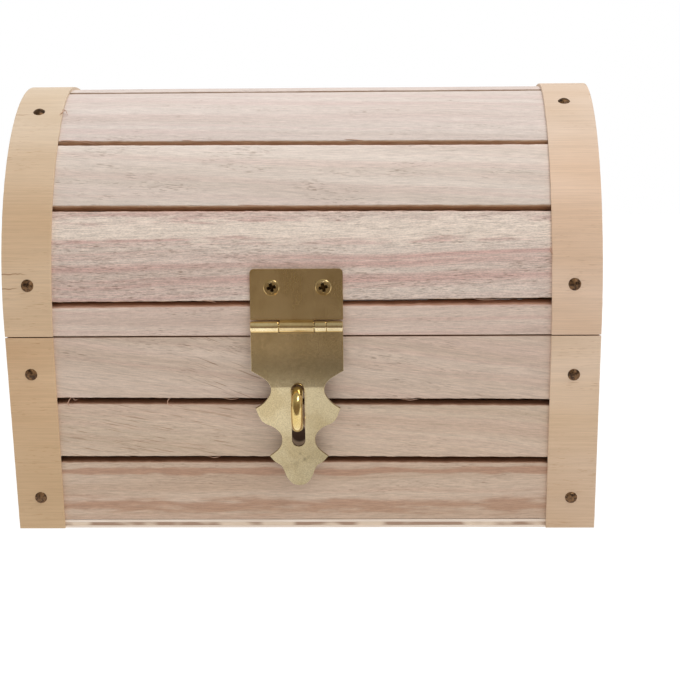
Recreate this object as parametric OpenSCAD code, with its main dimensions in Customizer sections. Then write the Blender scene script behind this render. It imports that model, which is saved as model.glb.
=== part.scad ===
// Wooden treasure chest box: slatted body with sloping walls, domed slatted lid on two
// butt hinges, bent veneer bands nailed over both ends, brass hasp over a wire staple.
// Origin: centre of the underside. +X to the right, front at -Y, +Z up. Millimetres.

/* [Chest] */
// overall width over the bands
chest_w = 200; // [150:1:260]
// depth of the underside, over the bands
base_d = 95; // [70:1:130]
// radius of the dome over the bands
dome_r = 66; // [50:0.5:90]
// height of the dome's centre
dome_z = 87.5; // [60:0.5:120]
// height where lid and body meet
lid_z = 69; // [40:0.5:100]
// gap between the closed lid and the body
lid_gap = 0.4; // [0.2:0.1:1]

/* [Boards] */
// thickness of the slats
slat_t = 4; // [2.5:0.5:6]
// thickness of the plywood bottom
board_t = 3; // [2:0.5:5]
// thickness of the end boards
end_t = 11; // [9:0.5:14]
// inset of boards and slats from the band's outer edge
end_in = 0.4; // [0:0.1:1]
// height of the lower edge of the body's upper slat
gap_hi_z = 47.1; // [40:0.1:52]
// height of the lower edge of the body's middle slat
gap_lo_z = 26; // [20:0.1:30]
// width of the gaps between the body slats
slat_gap = 1.9; // [1:0.1:3]
// dome angle at the middle of each lid gap, up from the front
lid_gap_1 = -6.4; // [-9:0.1:-4]
lid_gap_2 = 22.2; // [15:0.1:30]
lid_gap_3 = 44.9; // [35:0.1:55]
lid_gap_4 = 77.9; // [65:0.1:85]
// angle taken by each lid gap
lid_gap_a = 1.7; // [1:0.1:3]

/* [Bands] */
// width of the veneer bands
band_w = 16; // [10:0.5:24]
// thickness of the veneer bands
band_t = 1; // [0.6:0.1:2]
// nail head diameter
nail_head_d = 4.2; // [3:0.1:6]
// nail head height
nail_head_h = 1.1; // [0.6:0.1:2]
// nail shank diameter
nail_d = 1.4; // [1:0.1:2]
// nail length under the head
nail_l = 10; // [6:0.5:12]
// distance of the nails from the band's outer edge
nail_in = 8.6; // [6:0.1:12]
// dome angle of the lower and the upper lid nail
nail_a_lo = -0.8; // [-4:0.1:10]
nail_a_hi = 61.5; // [55:0.1:68]
// height of the upper and the lower body nail
nail_z_hi = 55.8; // [50:0.1:62]
nail_z_lo = 11.6; // [8:0.1:18]

/* [Brass] */
// sheet thickness of hasp and hinges
sheet_t = 0.8; // [0.5:0.1:1.2]
// diameter of the rolled knuckles
roll_d = 3.6; // [3:0.1:5]
// diameter of the hinge pins
pin_d = 1.8; // [1.4:0.1:2.4]
// running clearance round a pin, on the radius
pin_play = 0.05; // [0.02:0.01:0.1]
// gap between neighbouring knuckles
roll_gap = 0.3; // [0.2:0.1:0.6]
// screw head diameter
screw_head_d = 5.3; // [4:0.1:6.5]
// screw shank diameter
screw_d = 2; // [1.6:0.1:3]
// depth of a screw below the sheet
screw_l = 3.7; // [2:0.1:8]

/* [Hasp] */
// sideways position of the hasp
hasp_x = -1.6; // [-10:0.1:10]
// width of the hasp's upper leaf and flap
hasp_w = 31; // [24:0.5:40]
// height of the hasp's barrel
hasp_z = 72.6; // [70:0.1:80]
// length of the upper leaf above the barrel
leaf_h = 19.3; // [12:0.1:26]
// dome angle at which the upper leaf lies
leaf_a = -4; // [-8:0.5:2]
// width of the upper leaf's knuckle
leaf_roll_w = 11.5; // [8:0.1:16]
// height of the upper leaf's screws and their spacing
leaf_screw_z = 85.7; // [80:0.1:90]
leaf_screw_dx = 17.4; // [12:0.1:24]
// lean of the flap's upper part, towards the wall
flap_lean = 4; // [0:0.5:8]
// height of the bend in the flap
bend_z = 52; // [46:0.5:56]
// radius of the bend
bend_r = 14; // [4:1:20]
// height of the flap's tip
tip_z = 16.9; // [14:0.1:24]
// height where the straight sides end
side_z = 57.4; // [54:0.1:62]
// half width and height of the neck
neck_hw = 9; // [7:0.1:12]
neck_z = 51.2; // [48:0.1:54]
// radius of the notch beside the neck
neck_r = 6; // [4:0.1:8]
// half width and height of the wing points
wing_hw = 14.3; // [12:0.1:16]
wing_z = 44.6; // [42:0.1:48]
// half width and height of the waist
waist_hw = 5.6; // [4:0.1:8]
waist_z = 33.2; // [31:0.1:36]
// radius of the notch beside the waist
waist_r = 4.4; // [3:0.1:6]
// half width and height of the lower points
point_hw = 10; // [8:0.1:12]
point_z = 27.6; // [25:0.1:30]
// width, top and bottom of the slot
slot_w = 4.5; // [4.4:0.1:6]
slot_top_z = 53.2; // [50:0.1:56]
slot_low_z = 30.9; // [28:0.1:34]

/* [Staple] */
// wire diameter of the staple
wire_d = 3.8; // [2.4:0.1:4.4]
// height of the staple's top and of its lowest point
staple_top_z = 52.4; // [50:0.1:54]
staple_low_z = 37; // [34:0.1:42]
// reach of the staple in front of the chest's middle
staple_y = 72.5; // [68:0.5:76]
// radius of the staple's corners, on the wire's centre line
staple_r = 5; // [3:0.1:6]

/* [Back hinges] */
// distance of each hinge from the middle
hinge_x = 58; // [40:1:70]
// width of each hinge
hinge_w = 26; // [18:1:34]
// height of each leaf
hinge_h = 12; // [9:0.5:16]
// distance of the hinge axis behind the middle
hinge_y = 64.5; // [64.5:0.1:66]
// spacing of the two screws of a leaf
hinge_screw_dx = 15; // [10:0.5:20]

/* [Hidden] */

eps = 0.01;
half_w = chest_w / 2;
slat_r = dome_r - band_t;
inner_r = slat_r - slat_t;
wall_run = sqrt(pow(dome_r, 2) - pow(lid_z - dome_z, 2)) - base_d / 2;
wall_k = sqrt(1 + pow(wall_run / lid_z, 2));
wall_a = atan(wall_run / lid_z);
rim_z = lid_z - lid_gap / 2;
lid_low_z = lid_z + lid_gap / 2;
roll_r = roll_d / 2;
pin_r = pin_d / 2;
gap_h = lid_gap_a / 2;
nail_x = half_w - nail_in;
slat_x = half_w - end_in;
hinge_roll_w = hinge_w / 3;
// the hinge's lid leaf lies flat on the back of the dome at this angle; Y points down there,
// and its foot stays just above the lid's edge
lid_leaf_a = 180 - asin((lid_z + hinge_h * 0.45 - dome_z) / slat_r);
lid_leaf_foot = hinge_h * 0.45 - 0.4;

// half depth of the body wall at a height, a given distance inside the band's face
function wall_y(z, inside) = base_d / 2 + wall_run * z / lid_z - inside * wall_k;

// ---- shared shapes ----

// a profile drawn in Y and Z, drawn out along X
module along_x(x0, len) {
    translate([x0, 0, 0]) rotate([90, 0, 90]) linear_extrude(height = len) children();
}

// part of a tube round the dome's axis, angles up from the front
module arc_strip(a0, a1, r_in, r_out, x0, len) {
    translate([x0, 0, dome_z]) rotate([90, 0, 90]) rotate([0, 0, 180 - a1])
        rotate_extrude(angle = a1 - a0, $fn = 180)
            translate([r_in, 0]) square([r_out - r_in, len]);
}

module above_rim() {
    translate([-chest_w, -chest_w, lid_low_z]) cube([2 * chest_w, 2 * chest_w, 2 * chest_w]);
}

// places a child on the dome with its Z outwards
module on_dome(x, a, r = dome_r) {
    translate([x, 0, dome_z]) rotate([90 - a, 0, 0]) translate([0, 0, r]) children();
}

// places a child on the front wall with its Z outwards
module on_wall(x, z, inside = 0) {
    translate([x, -wall_y(z, inside), z]) rotate([90 + wall_a, 0, 0]) children();
}

module nail_shank() {
    translate([0, 0, -nail_l + 1.5]) cylinder(h = nail_l - 1.5, r = nail_d / 2, $fn = 24);
    translate([0, 0, -nail_l]) cylinder(h = 1.5, r1 = 0.15, r2 = nail_d / 2, $fn = 24);
}

module nail() {
    ball = (pow(nail_head_d / 2, 2) + pow(nail_head_h, 2)) / (2 * nail_head_h);
    intersection() {
        translate([0, 0, nail_head_h - ball]) sphere(r = ball, $fn = 48);
        cylinder(h = nail_head_h + 1, r = nail_head_d / 2 + 1, $fn = 48);
    }
    nail_shank();
}

// the places of the lid's nails, then of the body's, for a nail or its hole
module lid_nail_places() {
    for (s = [-1, 1]) for (a = [nail_a_lo, nail_a_hi, 180 - nail_a_hi, 180 - nail_a_lo])
        on_dome(s * nail_x, a) children();
}

module body_nail_places() {
    for (s = [-1, 1]) for (m = [0, 1]) for (z = [nail_z_lo, nail_z_hi])
        mirror([0, m, 0]) on_wall(s * nail_x, z) children();
}

// the space a screw takes: a countersunk head and a pointed shank
module screw_solid() {
    translate([0, 0, sheet_t - 1.4])
        cylinder(h = 1.4, r1 = screw_d / 2, r2 = screw_head_d / 2, $fn = 32);
    translate([0, 0, -screw_l + 1]) cylinder(h = screw_l, r = screw_d / 2, $fn = 32);
    translate([0, 0, -screw_l]) cylinder(h = 1, r1 = 0.3, r2 = screw_d / 2, $fn = 32);
}

// a screw with a low raised head and a cross in it; Z = 0 is the back of the sheet
module screw() {
    difference() {
        union() {
            screw_solid();
            translate([0, 0, sheet_t])
                cylinder(h = 0.25, r1 = screw_head_d / 2, r2 = screw_head_d / 2 - 0.6, $fn = 32);
        }
        for (r = [0, 90]) rotate([0, 0, r])
            translate([-1.3, -0.3, sheet_t - 0.5]) cube([2.6, 0.6, 1]);
    }
}

// ---- body ----

module body_inner() {
    polygon([[-wall_y(board_t, band_t + slat_t), board_t], [wall_y(board_t, band_t + slat_t), board_t],
        [wall_y(rim_z, band_t + slat_t), rim_z], [-wall_y(rim_z, band_t + slat_t), rim_z]]);
}

module bottom_board() {
    color([0.86, 0.76, 0.62])
    along_x(-slat_x, 2 * slat_x)
        polygon([[-wall_y(0, band_t), 0], [wall_y(0, band_t), 0],
            [wall_y(board_t, band_t), board_t], [-wall_y(board_t, band_t), board_t]]);
}

module body_end(s) {
    color([0.84, 0.74, 0.62])
    difference() {
        along_x(s > 0 ? slat_x - end_t : -slat_x, end_t) body_inner();
        body_nail_places() nail_shank();
    }
}

module body_end_left() { body_end(-1); }
module body_end_right() { body_end(1); }

// a front slat between two heights on its outer face, square to the wall
module wall_slat(z0, z1) {
    drop = slat_t * sin(wall_a);
    along_x(-slat_x, 2 * slat_x)
        polygon([[-wall_y(z0, band_t), z0], [-wall_y(z0, band_t) + slat_t * cos(wall_a), z0 + drop],
            [-wall_y(z1, band_t) + slat_t * cos(wall_a), min(z1 + drop, rim_z)],
            [-wall_y(z1, band_t), z1]]);
}

// the topmost slat is cut level with the rim
module rim_slat(z0) {
    drop = slat_t * sin(wall_a);
    along_x(-slat_x, 2 * slat_x)
        polygon([[-wall_y(z0, band_t), z0], [-wall_y(z0, band_t) + slat_t * cos(wall_a), z0 + drop],
            [-wall_y(rim_z, band_t + slat_t), rim_z], [-wall_y(rim_z, band_t), rim_z]]);
}

module front_slat_upper() {
    color([0.79, 0.68, 0.57])
    difference() {
        rim_slat(gap_hi_z);
        body_nail_places() nail_shank();
        staple();
    }
}

module front_slat_middle() {
    color([0.78, 0.67, 0.56])
    difference() {
        wall_slat(gap_lo_z, gap_hi_z - slat_gap);
        staple();
    }
}

module front_slat_lower() {
    color([0.74, 0.62, 0.52])
    difference() {
        wall_slat(board_t, gap_lo_z - slat_gap);
        body_nail_places() nail_shank();
    }
}

module back_slat_upper() {
    color([0.79, 0.68, 0.57])
    difference() {
        mirror([0, 1, 0]) rim_slat(gap_hi_z);
        body_nail_places() nail_shank();
        for (s = [-1, 1]) body_screws(s) screw_solid();
    }
}

module back_slat_middle() {
    color([0.78, 0.67, 0.56])
    mirror([0, 1, 0]) wall_slat(gap_lo_z, gap_hi_z - slat_gap);
}

module back_slat_lower() {
    color([0.74, 0.62, 0.52])
    difference() {
        mirror([0, 1, 0]) wall_slat(board_t, gap_lo_z - slat_gap);
        body_nail_places() nail_shank();
    }
}

module body_band(s, m) {
    color([0.80, 0.67, 0.50])
    difference() {
        mirror([0, m, 0]) along_x(s > 0 ? half_w - band_w : -half_w, band_w)
            polygon([[-wall_y(0, 0), 0], [-wall_y(0, band_t), 0],
                [-wall_y(rim_z, band_t), rim_z], [-wall_y(rim_z, 0), rim_z]]);
        body_nail_places() nail_shank();
    }
}

module body_band_front_left() { body_band(-1, 0); }
module body_band_front_right() { body_band(1, 0); }
module body_band_back_left() { body_band(-1, 1); }
module body_band_back_right() { body_band(1, 1); }

module body_band_nails() {
    color([0.33, 0.25, 0.19]) body_nail_places() nail();
}

// wire loop: two legs through the slats and a rounded crown in front of the flap
module staple() {
    wr = wire_d / 2;
    top = staple_top_z - wr;
    low = staple_low_z + wr;
    front = staple_y - wr;
    color([0.85, 0.72, 0.42])
    translate([hasp_x, 0, 0]) {
        for (z = [top, low])
            translate([0, -front + staple_r, z]) rotate([-90, 0, 0])
                cylinder(h = front - staple_r - wall_y(z, band_t + slat_t - 0.3), r = wr, $fn = 48);
        translate([0, -front, low + staple_r]) cylinder(h = top - low - 2 * staple_r, r = wr, $fn = 48);
        translate([0, -front + staple_r, top - staple_r]) rotate([90, 0, 90]) rotate([0, 0, 90])
            rotate_extrude(angle = 90, $fn = 48) translate([staple_r, 0]) circle(r = wr, $fn = 48);
        translate([0, -front + staple_r, low + staple_r]) rotate([90, 0, 90]) rotate([0, 0, 180])
            rotate_extrude(angle = 90, $fn = 48) translate([staple_r, 0]) circle(r = wr, $fn = 48);
    }
}

// ---- back hinges ----

// one knuckle round the hinge axis
module hinge_roll(x0, len, r = roll_r) {
    translate([x0, hinge_y, lid_z]) rotate([0, 90, 0]) cylinder(h = len, r = r, $fn = 48);
}

module body_screws(s) {
    for (dx = [-1, 1])
        mirror([0, 1, 0]) on_wall(s * hinge_x + dx * hinge_screw_dx / 2, lid_z - hinge_h * 0.62, band_t)
            children();
}

module lid_screws(s) {
    for (dx = [-1, 1])
        on_dome(s * hinge_x + dx * hinge_screw_dx / 2, lid_leaf_a, slat_r)
            translate([0, -0.6, 0]) children();
}

module hinge_body_leaf(s) {
    x0 = s * hinge_x - hinge_w / 2;
    color([0.72, 0.58, 0.32])
    difference() {
        union() {
            mirror([0, 1, 0]) on_wall(x0, lid_z, band_t)
                translate([0, -hinge_h, 0]) cube([hinge_w, hinge_h - 0.2, sheet_t]);
            hinge_roll(x0, hinge_roll_w - roll_gap / 2);
            hinge_roll(x0 + 2 * hinge_roll_w + roll_gap / 2, hinge_roll_w - roll_gap / 2);
        }
        hinge_roll(x0 + hinge_roll_w - roll_gap / 2, hinge_roll_w + roll_gap, roll_r + 0.3);
        hinge_roll(x0 - 1, hinge_w + 2, pin_r);
        body_screws(s) screw_solid();
    }
}

module hinge_lid_leaf(s) {
    x0 = s * hinge_x - hinge_w / 2;
    color([0.72, 0.58, 0.32])
    difference() {
        union() {
            on_dome(x0, lid_leaf_a, slat_r)
                translate([0, lid_leaf_foot - hinge_h, 0]) cube([hinge_w, hinge_h, sheet_t]);
            hinge_roll(x0 + hinge_roll_w + roll_gap / 2, hinge_roll_w - roll_gap);
        }
        hinge_roll(x0 - 1, hinge_roll_w + 1 + roll_gap / 2, roll_r + 0.3);
        hinge_roll(x0 + 2 * hinge_roll_w - roll_gap / 2, hinge_roll_w + 2, roll_r + 0.3);
        hinge_roll(x0 - 1, hinge_w + 2, pin_r + pin_play);
        lid_screws(s) screw_solid();
    }
}

module hinge_body_leaf_left() { hinge_body_leaf(-1); }
module hinge_body_leaf_right() { hinge_body_leaf(1); }
module hinge_lid_leaf_left() { hinge_lid_leaf(-1); }
module hinge_lid_leaf_right() { hinge_lid_leaf(1); }

module hinge_pins() {
    color([0.62, 0.5, 0.28])
    for (s = [-1, 1]) hinge_roll(s * hinge_x - hinge_w / 2, hinge_w, pin_r);
}

module hinge_body_screws() {
    color([0.76, 0.63, 0.36]) for (s = [-1, 1]) body_screws(s) screw();
}

module hinge_lid_screws() {
    color([0.76, 0.63, 0.36]) for (s = [-1, 1]) lid_screws(s) screw();
}

// ---- lid ----

module lid_end(s) {
    color([0.84, 0.74, 0.62])
    difference() {
        intersection() {
            translate([s > 0 ? slat_x - end_t : -slat_x, 0, dome_z]) rotate([0, 90, 0])
                cylinder(h = end_t, r = inner_r, $fn = 180);
            above_rim();
        }
        lid_nail_places() nail_shank();
    }
}

module lid_end_left() { lid_end(-1); }
module lid_end_right() { lid_end(1); }

module lid_slat(a0, a1) {
    arc_strip(a0 + gap_h, a1 - gap_h, inner_r, slat_r, -slat_x, 2 * slat_x);
}

module lid_slat_front_rim() {
    color([0.82, 0.72, 0.63])
    intersection() {
        arc_strip(-25, lid_gap_1 - gap_h, inner_r, slat_r, -slat_x, 2 * slat_x);
        above_rim();
    }
}

module lid_slat_front_lower() {
    color([0.80, 0.70, 0.62])
    difference() {
        lid_slat(lid_gap_1, lid_gap_2);
        lid_nail_places() nail_shank();
        hasp_screw_places() screw_solid();
    }
}

module lid_slat_front_middle() { color([0.84, 0.76, 0.68]) lid_slat(lid_gap_2, lid_gap_3); }

module lid_slat_front_upper() {
    color([0.87, 0.80, 0.73])
    difference() {
        lid_slat(lid_gap_3, lid_gap_4);
        lid_nail_places() nail_shank();
    }
}

module lid_slat_top() { color([0.88, 0.82, 0.75]) lid_slat(lid_gap_4, 180 - lid_gap_4); }

module lid_slat_back_upper() {
    color([0.87, 0.80, 0.73])
    difference() {
        lid_slat(180 - lid_gap_4, 180 - lid_gap_3);
        lid_nail_places() nail_shank();
    }
}

module lid_slat_back_middle() {
    color([0.84, 0.76, 0.68]) lid_slat(180 - lid_gap_3, 180 - lid_gap_2);
}

module lid_slat_back_lower() {
    color([0.80, 0.70, 0.62])
    difference() {
        lid_slat(180 - lid_gap_2, 180 - lid_gap_1);
        lid_nail_places() nail_shank();
    }
}

module lid_slat_back_rim() {
    color([0.82, 0.72, 0.63])
    difference() {
        intersection() {
            arc_strip(180 - lid_gap_1 + gap_h, 205, inner_r, slat_r, -slat_x, 2 * slat_x);
            above_rim();
        }
        for (s = [-1, 1]) lid_screws(s) screw_solid();
    }
}

module lid_band(s) {
    color([0.82, 0.70, 0.54])
    difference() {
        intersection() {
            arc_strip(-25, 205, slat_r, dome_r, s > 0 ? half_w - band_w : -half_w, band_w);
            above_rim();
        }
        lid_nail_places() nail_shank();
    }
}

module lid_band_left() { lid_band(-1); }
module lid_band_right() { lid_band(1); }

module lid_band_nails() {
    color([0.33, 0.25, 0.19]) lid_nail_places() nail();
}

// ---- hasp ----

// the upper leaf is drawn flat: Y up along the leaf, Z outwards, Z = 0 on the slats
barrel_u = (hasp_z - dome_z - (slat_r + roll_r) * sin(leaf_a)) / cos(leaf_a);
barrel_y = (slat_r + roll_r) * cos(leaf_a) - barrel_u * sin(leaf_a);
leaf_screw_u = (leaf_screw_z - dome_z - (slat_r + sheet_t) * sin(leaf_a)) / cos(leaf_a);

module on_leaf() { on_dome(hasp_x, leaf_a, slat_r) children(); }

module hasp_screw_places() {
    for (s = [-1, 1]) on_leaf() translate([s * leaf_screw_dx / 2, leaf_screw_u, 0]) children();
}

module hasp_roll(x0, len, r = roll_r) {
    translate([hasp_x + x0, -barrel_y, hasp_z]) rotate([0, 90, 0]) cylinder(h = len, r = r, $fn = 48);
}

module hasp_leaf() {
    cr = 1.4;
    color([0.66, 0.54, 0.33])
    difference() {
        union() {
            on_leaf() linear_extrude(height = sheet_t) union() {
                translate([-hasp_w / 2, barrel_u]) square([hasp_w, leaf_h - cr]);
                translate([-hasp_w / 2 + cr, barrel_u]) square([hasp_w - 2 * cr, leaf_h]);
                for (s = [-1, 1]) translate([s * (hasp_w / 2 - cr), barrel_u + leaf_h - cr])
                    circle(r = cr, $fn = 32);
            }
            hasp_roll(-leaf_roll_w / 2, leaf_roll_w);
        }
        for (s = [-1, 1])
            hasp_roll(s > 0 ? leaf_roll_w / 2 : -hasp_w / 2 - 1, hasp_w / 2 + 1 - leaf_roll_w / 2,
                roll_r + 0.3);
        hasp_roll(-hasp_w, 2 * hasp_w, pin_r);
        hasp_screw_places() screw_solid();
    }
}

module hasp_screws() {
    color([0.74, 0.62, 0.38]) hasp_screw_places() screw();
}

module hasp_pin() {
    color([0.62, 0.5, 0.28]) hasp_roll(-hasp_w / 2, hasp_w, pin_r);
}

// side view of the flap: straight down from the barrel, a soft bend, then along the wall
function face_n(a) = [cos(a), sin(a)];
face_y = -barrel_y + roll_r * cos(flap_lean);
face_z = hasp_z + roll_r * sin(flap_lean);
bend_len = (face_z - bend_z) / cos(flap_lean);
bend_p = [face_y + bend_len * sin(flap_lean), face_z - bend_len * cos(flap_lean)];
bend_o = bend_p + bend_r * face_n(flap_lean);
end_p = bend_o - bend_r * face_n(wall_a);
end_len = (end_p[1] - tip_z + 2) / cos(wall_a);
end_dir = [sin(wall_a), -cos(wall_a)];
bend_steps = [flap_lean : (wall_a - flap_lean) / 6 : wall_a + eps];
bend_back = [0 : 6];

module flap_side() {
    polygon(concat(
        [[face_y, face_z]],
        [for (a = bend_steps) bend_o - bend_r * face_n(a)],
        [end_p + end_len * end_dir],
        [end_p + end_len * end_dir - sheet_t * face_n(wall_a)],
        [for (i = bend_back) bend_o
            - (bend_r + sheet_t) * face_n(wall_a - i * (wall_a - flap_lean) / 6)],
        [[face_y, face_z] - sheet_t * face_n(flap_lean)]));
}

// front view of the flap, drawn about its middle
module flap_front() {
    tip_r = 5.4;
    difference() {
        union() {
            translate([-hasp_w / 2, side_z]) square([hasp_w, hasp_z + roll_r - side_z]);
            polygon([[-hasp_w / 2, side_z], [-neck_hw - 4.6, neck_z + 4.2], [-neck_hw - 2, neck_z],
                [-neck_hw - 4.4, neck_z - 4.4], [-wing_hw, wing_z], [-wing_hw + 0.8, wing_z - 3],
                [-wing_hw + 2.4, wing_z - 5.2], [-waist_hw - 2.2, waist_z + 4.4], [-waist_hw, waist_z],
                [-waist_hw - 2.2, waist_z - 4.2], [-point_hw, point_z], [-point_hw + 2.6, point_z - 3],
                [-tip_r, tip_z + tip_r + 1.4], [tip_r, tip_z + tip_r + 1.4],
                [point_hw - 2.6, point_z - 3], [point_hw, point_z], [waist_hw + 2.2, waist_z - 4.2],
                [waist_hw, waist_z], [waist_hw + 2.2, waist_z + 4.4], [wing_hw - 2.4, wing_z - 5.2],
                [wing_hw - 0.8, wing_z - 3], [wing_hw, wing_z], [neck_hw + 4.4, neck_z - 4.4],
                [neck_hw + 2, neck_z], [neck_hw + 4.6, neck_z + 4.2], [hasp_w / 2, side_z]]);
            translate([0, tip_z + tip_r]) circle(r = tip_r, $fn = 48);
            translate([-tip_r, tip_z + tip_r]) square([2 * tip_r, 1.6]);
        }
        for (s = [-1, 1]) {
            translate([s * (neck_hw + neck_r), neck_z]) circle(r = neck_r, $fn = 48);
            translate([s * (waist_hw + waist_r), waist_z]) circle(r = waist_r, $fn = 48);
        }
        for (z = [slot_low_z + slot_w / 2, slot_top_z - slot_w / 2])
            translate([0, z]) circle(r = slot_w / 2, $fn = 48);
        translate([-slot_w / 2, slot_low_z + slot_w / 2])
            square([slot_w, slot_top_z - slot_low_z - slot_w]);
    }
}

module hasp_flap() {
    color([0.78, 0.68, 0.44])
    difference() {
        union() {
            intersection() {
                along_x(hasp_x - hasp_w / 2, hasp_w) flap_side();
                translate([hasp_x, 0, 0]) rotate([90, 0, 0]) linear_extrude(height = 2 * chest_w)
                    flap_front();
            }
            for (s = [-1, 1])
                hasp_roll(s > 0 ? leaf_roll_w / 2 + roll_gap : -hasp_w / 2,
                    hasp_w / 2 - leaf_roll_w / 2 - roll_gap);
        }
        hasp_roll(-leaf_roll_w / 2 - roll_gap, leaf_roll_w + 2 * roll_gap, roll_r + 0.3);
        hasp_roll(-hasp_w, 2 * hasp_w, pin_r + pin_play);
    }
}

// ---- output ----

bottom_board();
body_end_left();
body_end_right();
front_slat_upper();
front_slat_middle();
front_slat_lower();
back_slat_upper();
back_slat_middle();
back_slat_lower();
body_band_front_left();
body_band_front_right();
body_band_back_left();
body_band_back_right();
body_band_nails();
staple();
hinge_body_leaf_left();
hinge_body_leaf_right();
hinge_pins();
hinge_body_screws();
lid_end_left();
lid_end_right();
lid_slat_front_rim();
lid_slat_front_lower();
lid_slat_front_middle();
lid_slat_front_upper();
lid_slat_top();
lid_slat_back_upper();
lid_slat_back_middle();
lid_slat_back_lower();
lid_slat_back_rim();
lid_band_left();
lid_band_right();
lid_band_nails();
hinge_lid_leaf_left();
hinge_lid_leaf_right();
hinge_lid_screws();
hasp_leaf();
hasp_screws();
hasp_pin();
hasp_flap();
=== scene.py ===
from math import asin, atan, cos, pi, radians, sin, sqrt, tan

import bmesh
import bpy
from mathutils import Matrix, Vector, noise


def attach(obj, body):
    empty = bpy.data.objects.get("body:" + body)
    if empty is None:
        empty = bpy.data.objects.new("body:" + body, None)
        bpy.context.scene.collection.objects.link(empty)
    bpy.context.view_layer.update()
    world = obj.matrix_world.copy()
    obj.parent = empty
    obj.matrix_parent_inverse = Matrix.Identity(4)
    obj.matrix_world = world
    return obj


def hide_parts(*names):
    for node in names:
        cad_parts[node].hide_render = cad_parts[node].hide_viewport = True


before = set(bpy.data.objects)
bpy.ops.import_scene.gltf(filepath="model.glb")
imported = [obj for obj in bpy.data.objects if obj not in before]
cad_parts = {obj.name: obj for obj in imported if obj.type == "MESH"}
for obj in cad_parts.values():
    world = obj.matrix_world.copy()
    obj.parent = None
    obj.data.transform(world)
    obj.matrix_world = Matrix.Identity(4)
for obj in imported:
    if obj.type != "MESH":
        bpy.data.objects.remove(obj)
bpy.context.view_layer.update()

# ---- sizes, in millimetres, as in the CAD ----
MM = 0.001
HALF_W = 100.0
SLAT_X = 99.6
LID_Z = 69.0
LID_GAP = 0.4
DOME_Z = 87.5
DOME_R = 66.0
BAND_T = 1.0
SLAT_R = DOME_R - BAND_T
SLAT_T = 4.0
PLY_T = 3.0
HALF_BASE = 47.5
WALL_RUN = sqrt(DOME_R ** 2 - (LID_Z - DOME_Z) ** 2) - HALF_BASE
WALL_A = atan(WALL_RUN / LID_Z)
WALL_K = 1 / cos(WALL_A)
RIM_Z = LID_Z - LID_GAP / 2
LID_LOW_Z = LID_Z + LID_GAP / 2
SHEET_T = 0.8
ROLL_R = 1.8
PIN_R = 0.9
HASP_X = -1.6


def srgb(r, g, b):
    """A colour given in 0..255 as the linear numbers a shader takes."""
    return tuple(
        (c / 255 / 12.92 if c <= 10 else ((c / 255 + 0.055) / 1.055) ** 2.4)
        for c in (r, g, b)
    ) + (1.0,)


# ---- surfaces: place(x, u, d), d is the depth below the slats' outer face ----
def on_wall(x, z, d):
    y = HALF_BASE + WALL_RUN * z / LID_Z - BAND_T * WALL_K
    return x, -y + d * cos(WALL_A), z + d * sin(WALL_A)


def on_dome(x, u, d):
    a = u / SLAT_R
    r = SLAT_R - d
    return x, -r * cos(a), DOME_Z + r * sin(a)


def turned(place):
    """The same surface on the back of the chest."""
    def back(x, u, d):
        x, y, z = place(x, u, d)
        return x, -y, z
    return back


def arc_u(degrees):
    return radians(degrees) * SLAT_R


def drift(x, y, z):
    """Smooth noise between about -1 and 1, the same at each run."""
    return noise.noise(Vector((x, y, z)))


def rough(x, seed, size):
    """How far a sawn edge wanders at x: slowly, with small nicks."""
    slow = drift(x / 45, seed, 0.3)
    middle = drift(x / 6, seed, 3.1)
    fine = drift(x / 1.5, seed, 7.7)
    return size * (0.55 * slow + 0.35 * middle + 0.4 * fine)


# ---- mesh helpers ----
def linked(name, data):
    obj = bpy.data.objects.new(name, data)
    bpy.context.collection.objects.link(obj)
    return obj


SHARP = 35


def solid(name, points, faces, grain=None, sharp=SHARP):
    """A mesh object from points in millimetres, with normals outwards."""
    mesh = bpy.data.meshes.new(name)
    mesh.from_pydata([tuple(c * MM for c in p) for p in points], [], faces)
    bm = bmesh.new()
    bm.from_mesh(mesh)
    bmesh.ops.recalc_face_normals(bm, faces=bm.faces)
    bm.to_mesh(mesh)
    bm.free()
    mesh.polygons.foreach_set("use_smooth", [True] * len(mesh.polygons))
    mesh.set_sharp_from_angle(angle=radians(sharp))
    if grain:
        layer = mesh.attributes.new("grain", "FLOAT_VECTOR", "POINT")
        layer.data.foreach_set("vector", [c for g in grain for c in g])
    return linked(name, mesh)


def piece(obj, body, slot, material, *nodes):
    if not obj.data.materials:
        obj.data.materials.append(material)
    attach(obj, body)
    if nodes:
        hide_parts(*nodes)
    return obj


def skin(rings, count):
    """Four-sided faces between neighbouring rings of count points."""
    faces = []
    for start in range(0, (rings - 1) * count, count):
        for k in range(count):
            m = (k + 1) % count
            faces.append((start + k, start + m, start + count + m, start + count + k))
    return faces


def strip_cap(start, count):
    """Closes a ring with a strip of faces across it."""
    end = start + count - 1
    return [(start + k, start + k + 1, end - 1 - k, end - k) for k in range(count // 2 - 1)]


def swept(name, stations, section, place, grain_of, sharp=SHARP, strip_caps=False):
    """A closed loop of (q, d) at each station p, joined along p, its ends one face or a strip of them."""
    points = []
    grain = []
    count = 0
    for p in stations:
        loop = section(p)
        count = len(loop)
        for q, d in loop:
            points.append(place(p, q, d))
            grain.append(grain_of(p, q, d))
    faces = skin(len(stations), count)
    for start in (0, (len(stations) - 1) * count):
        faces += strip_cap(start, count) if strip_caps else [tuple(range(start, start + count))]
    return solid(name, points, faces, grain, sharp)


def spread(a, b, n):
    return [a + (b - a) * i / n for i in range(n + 1)]


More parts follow.
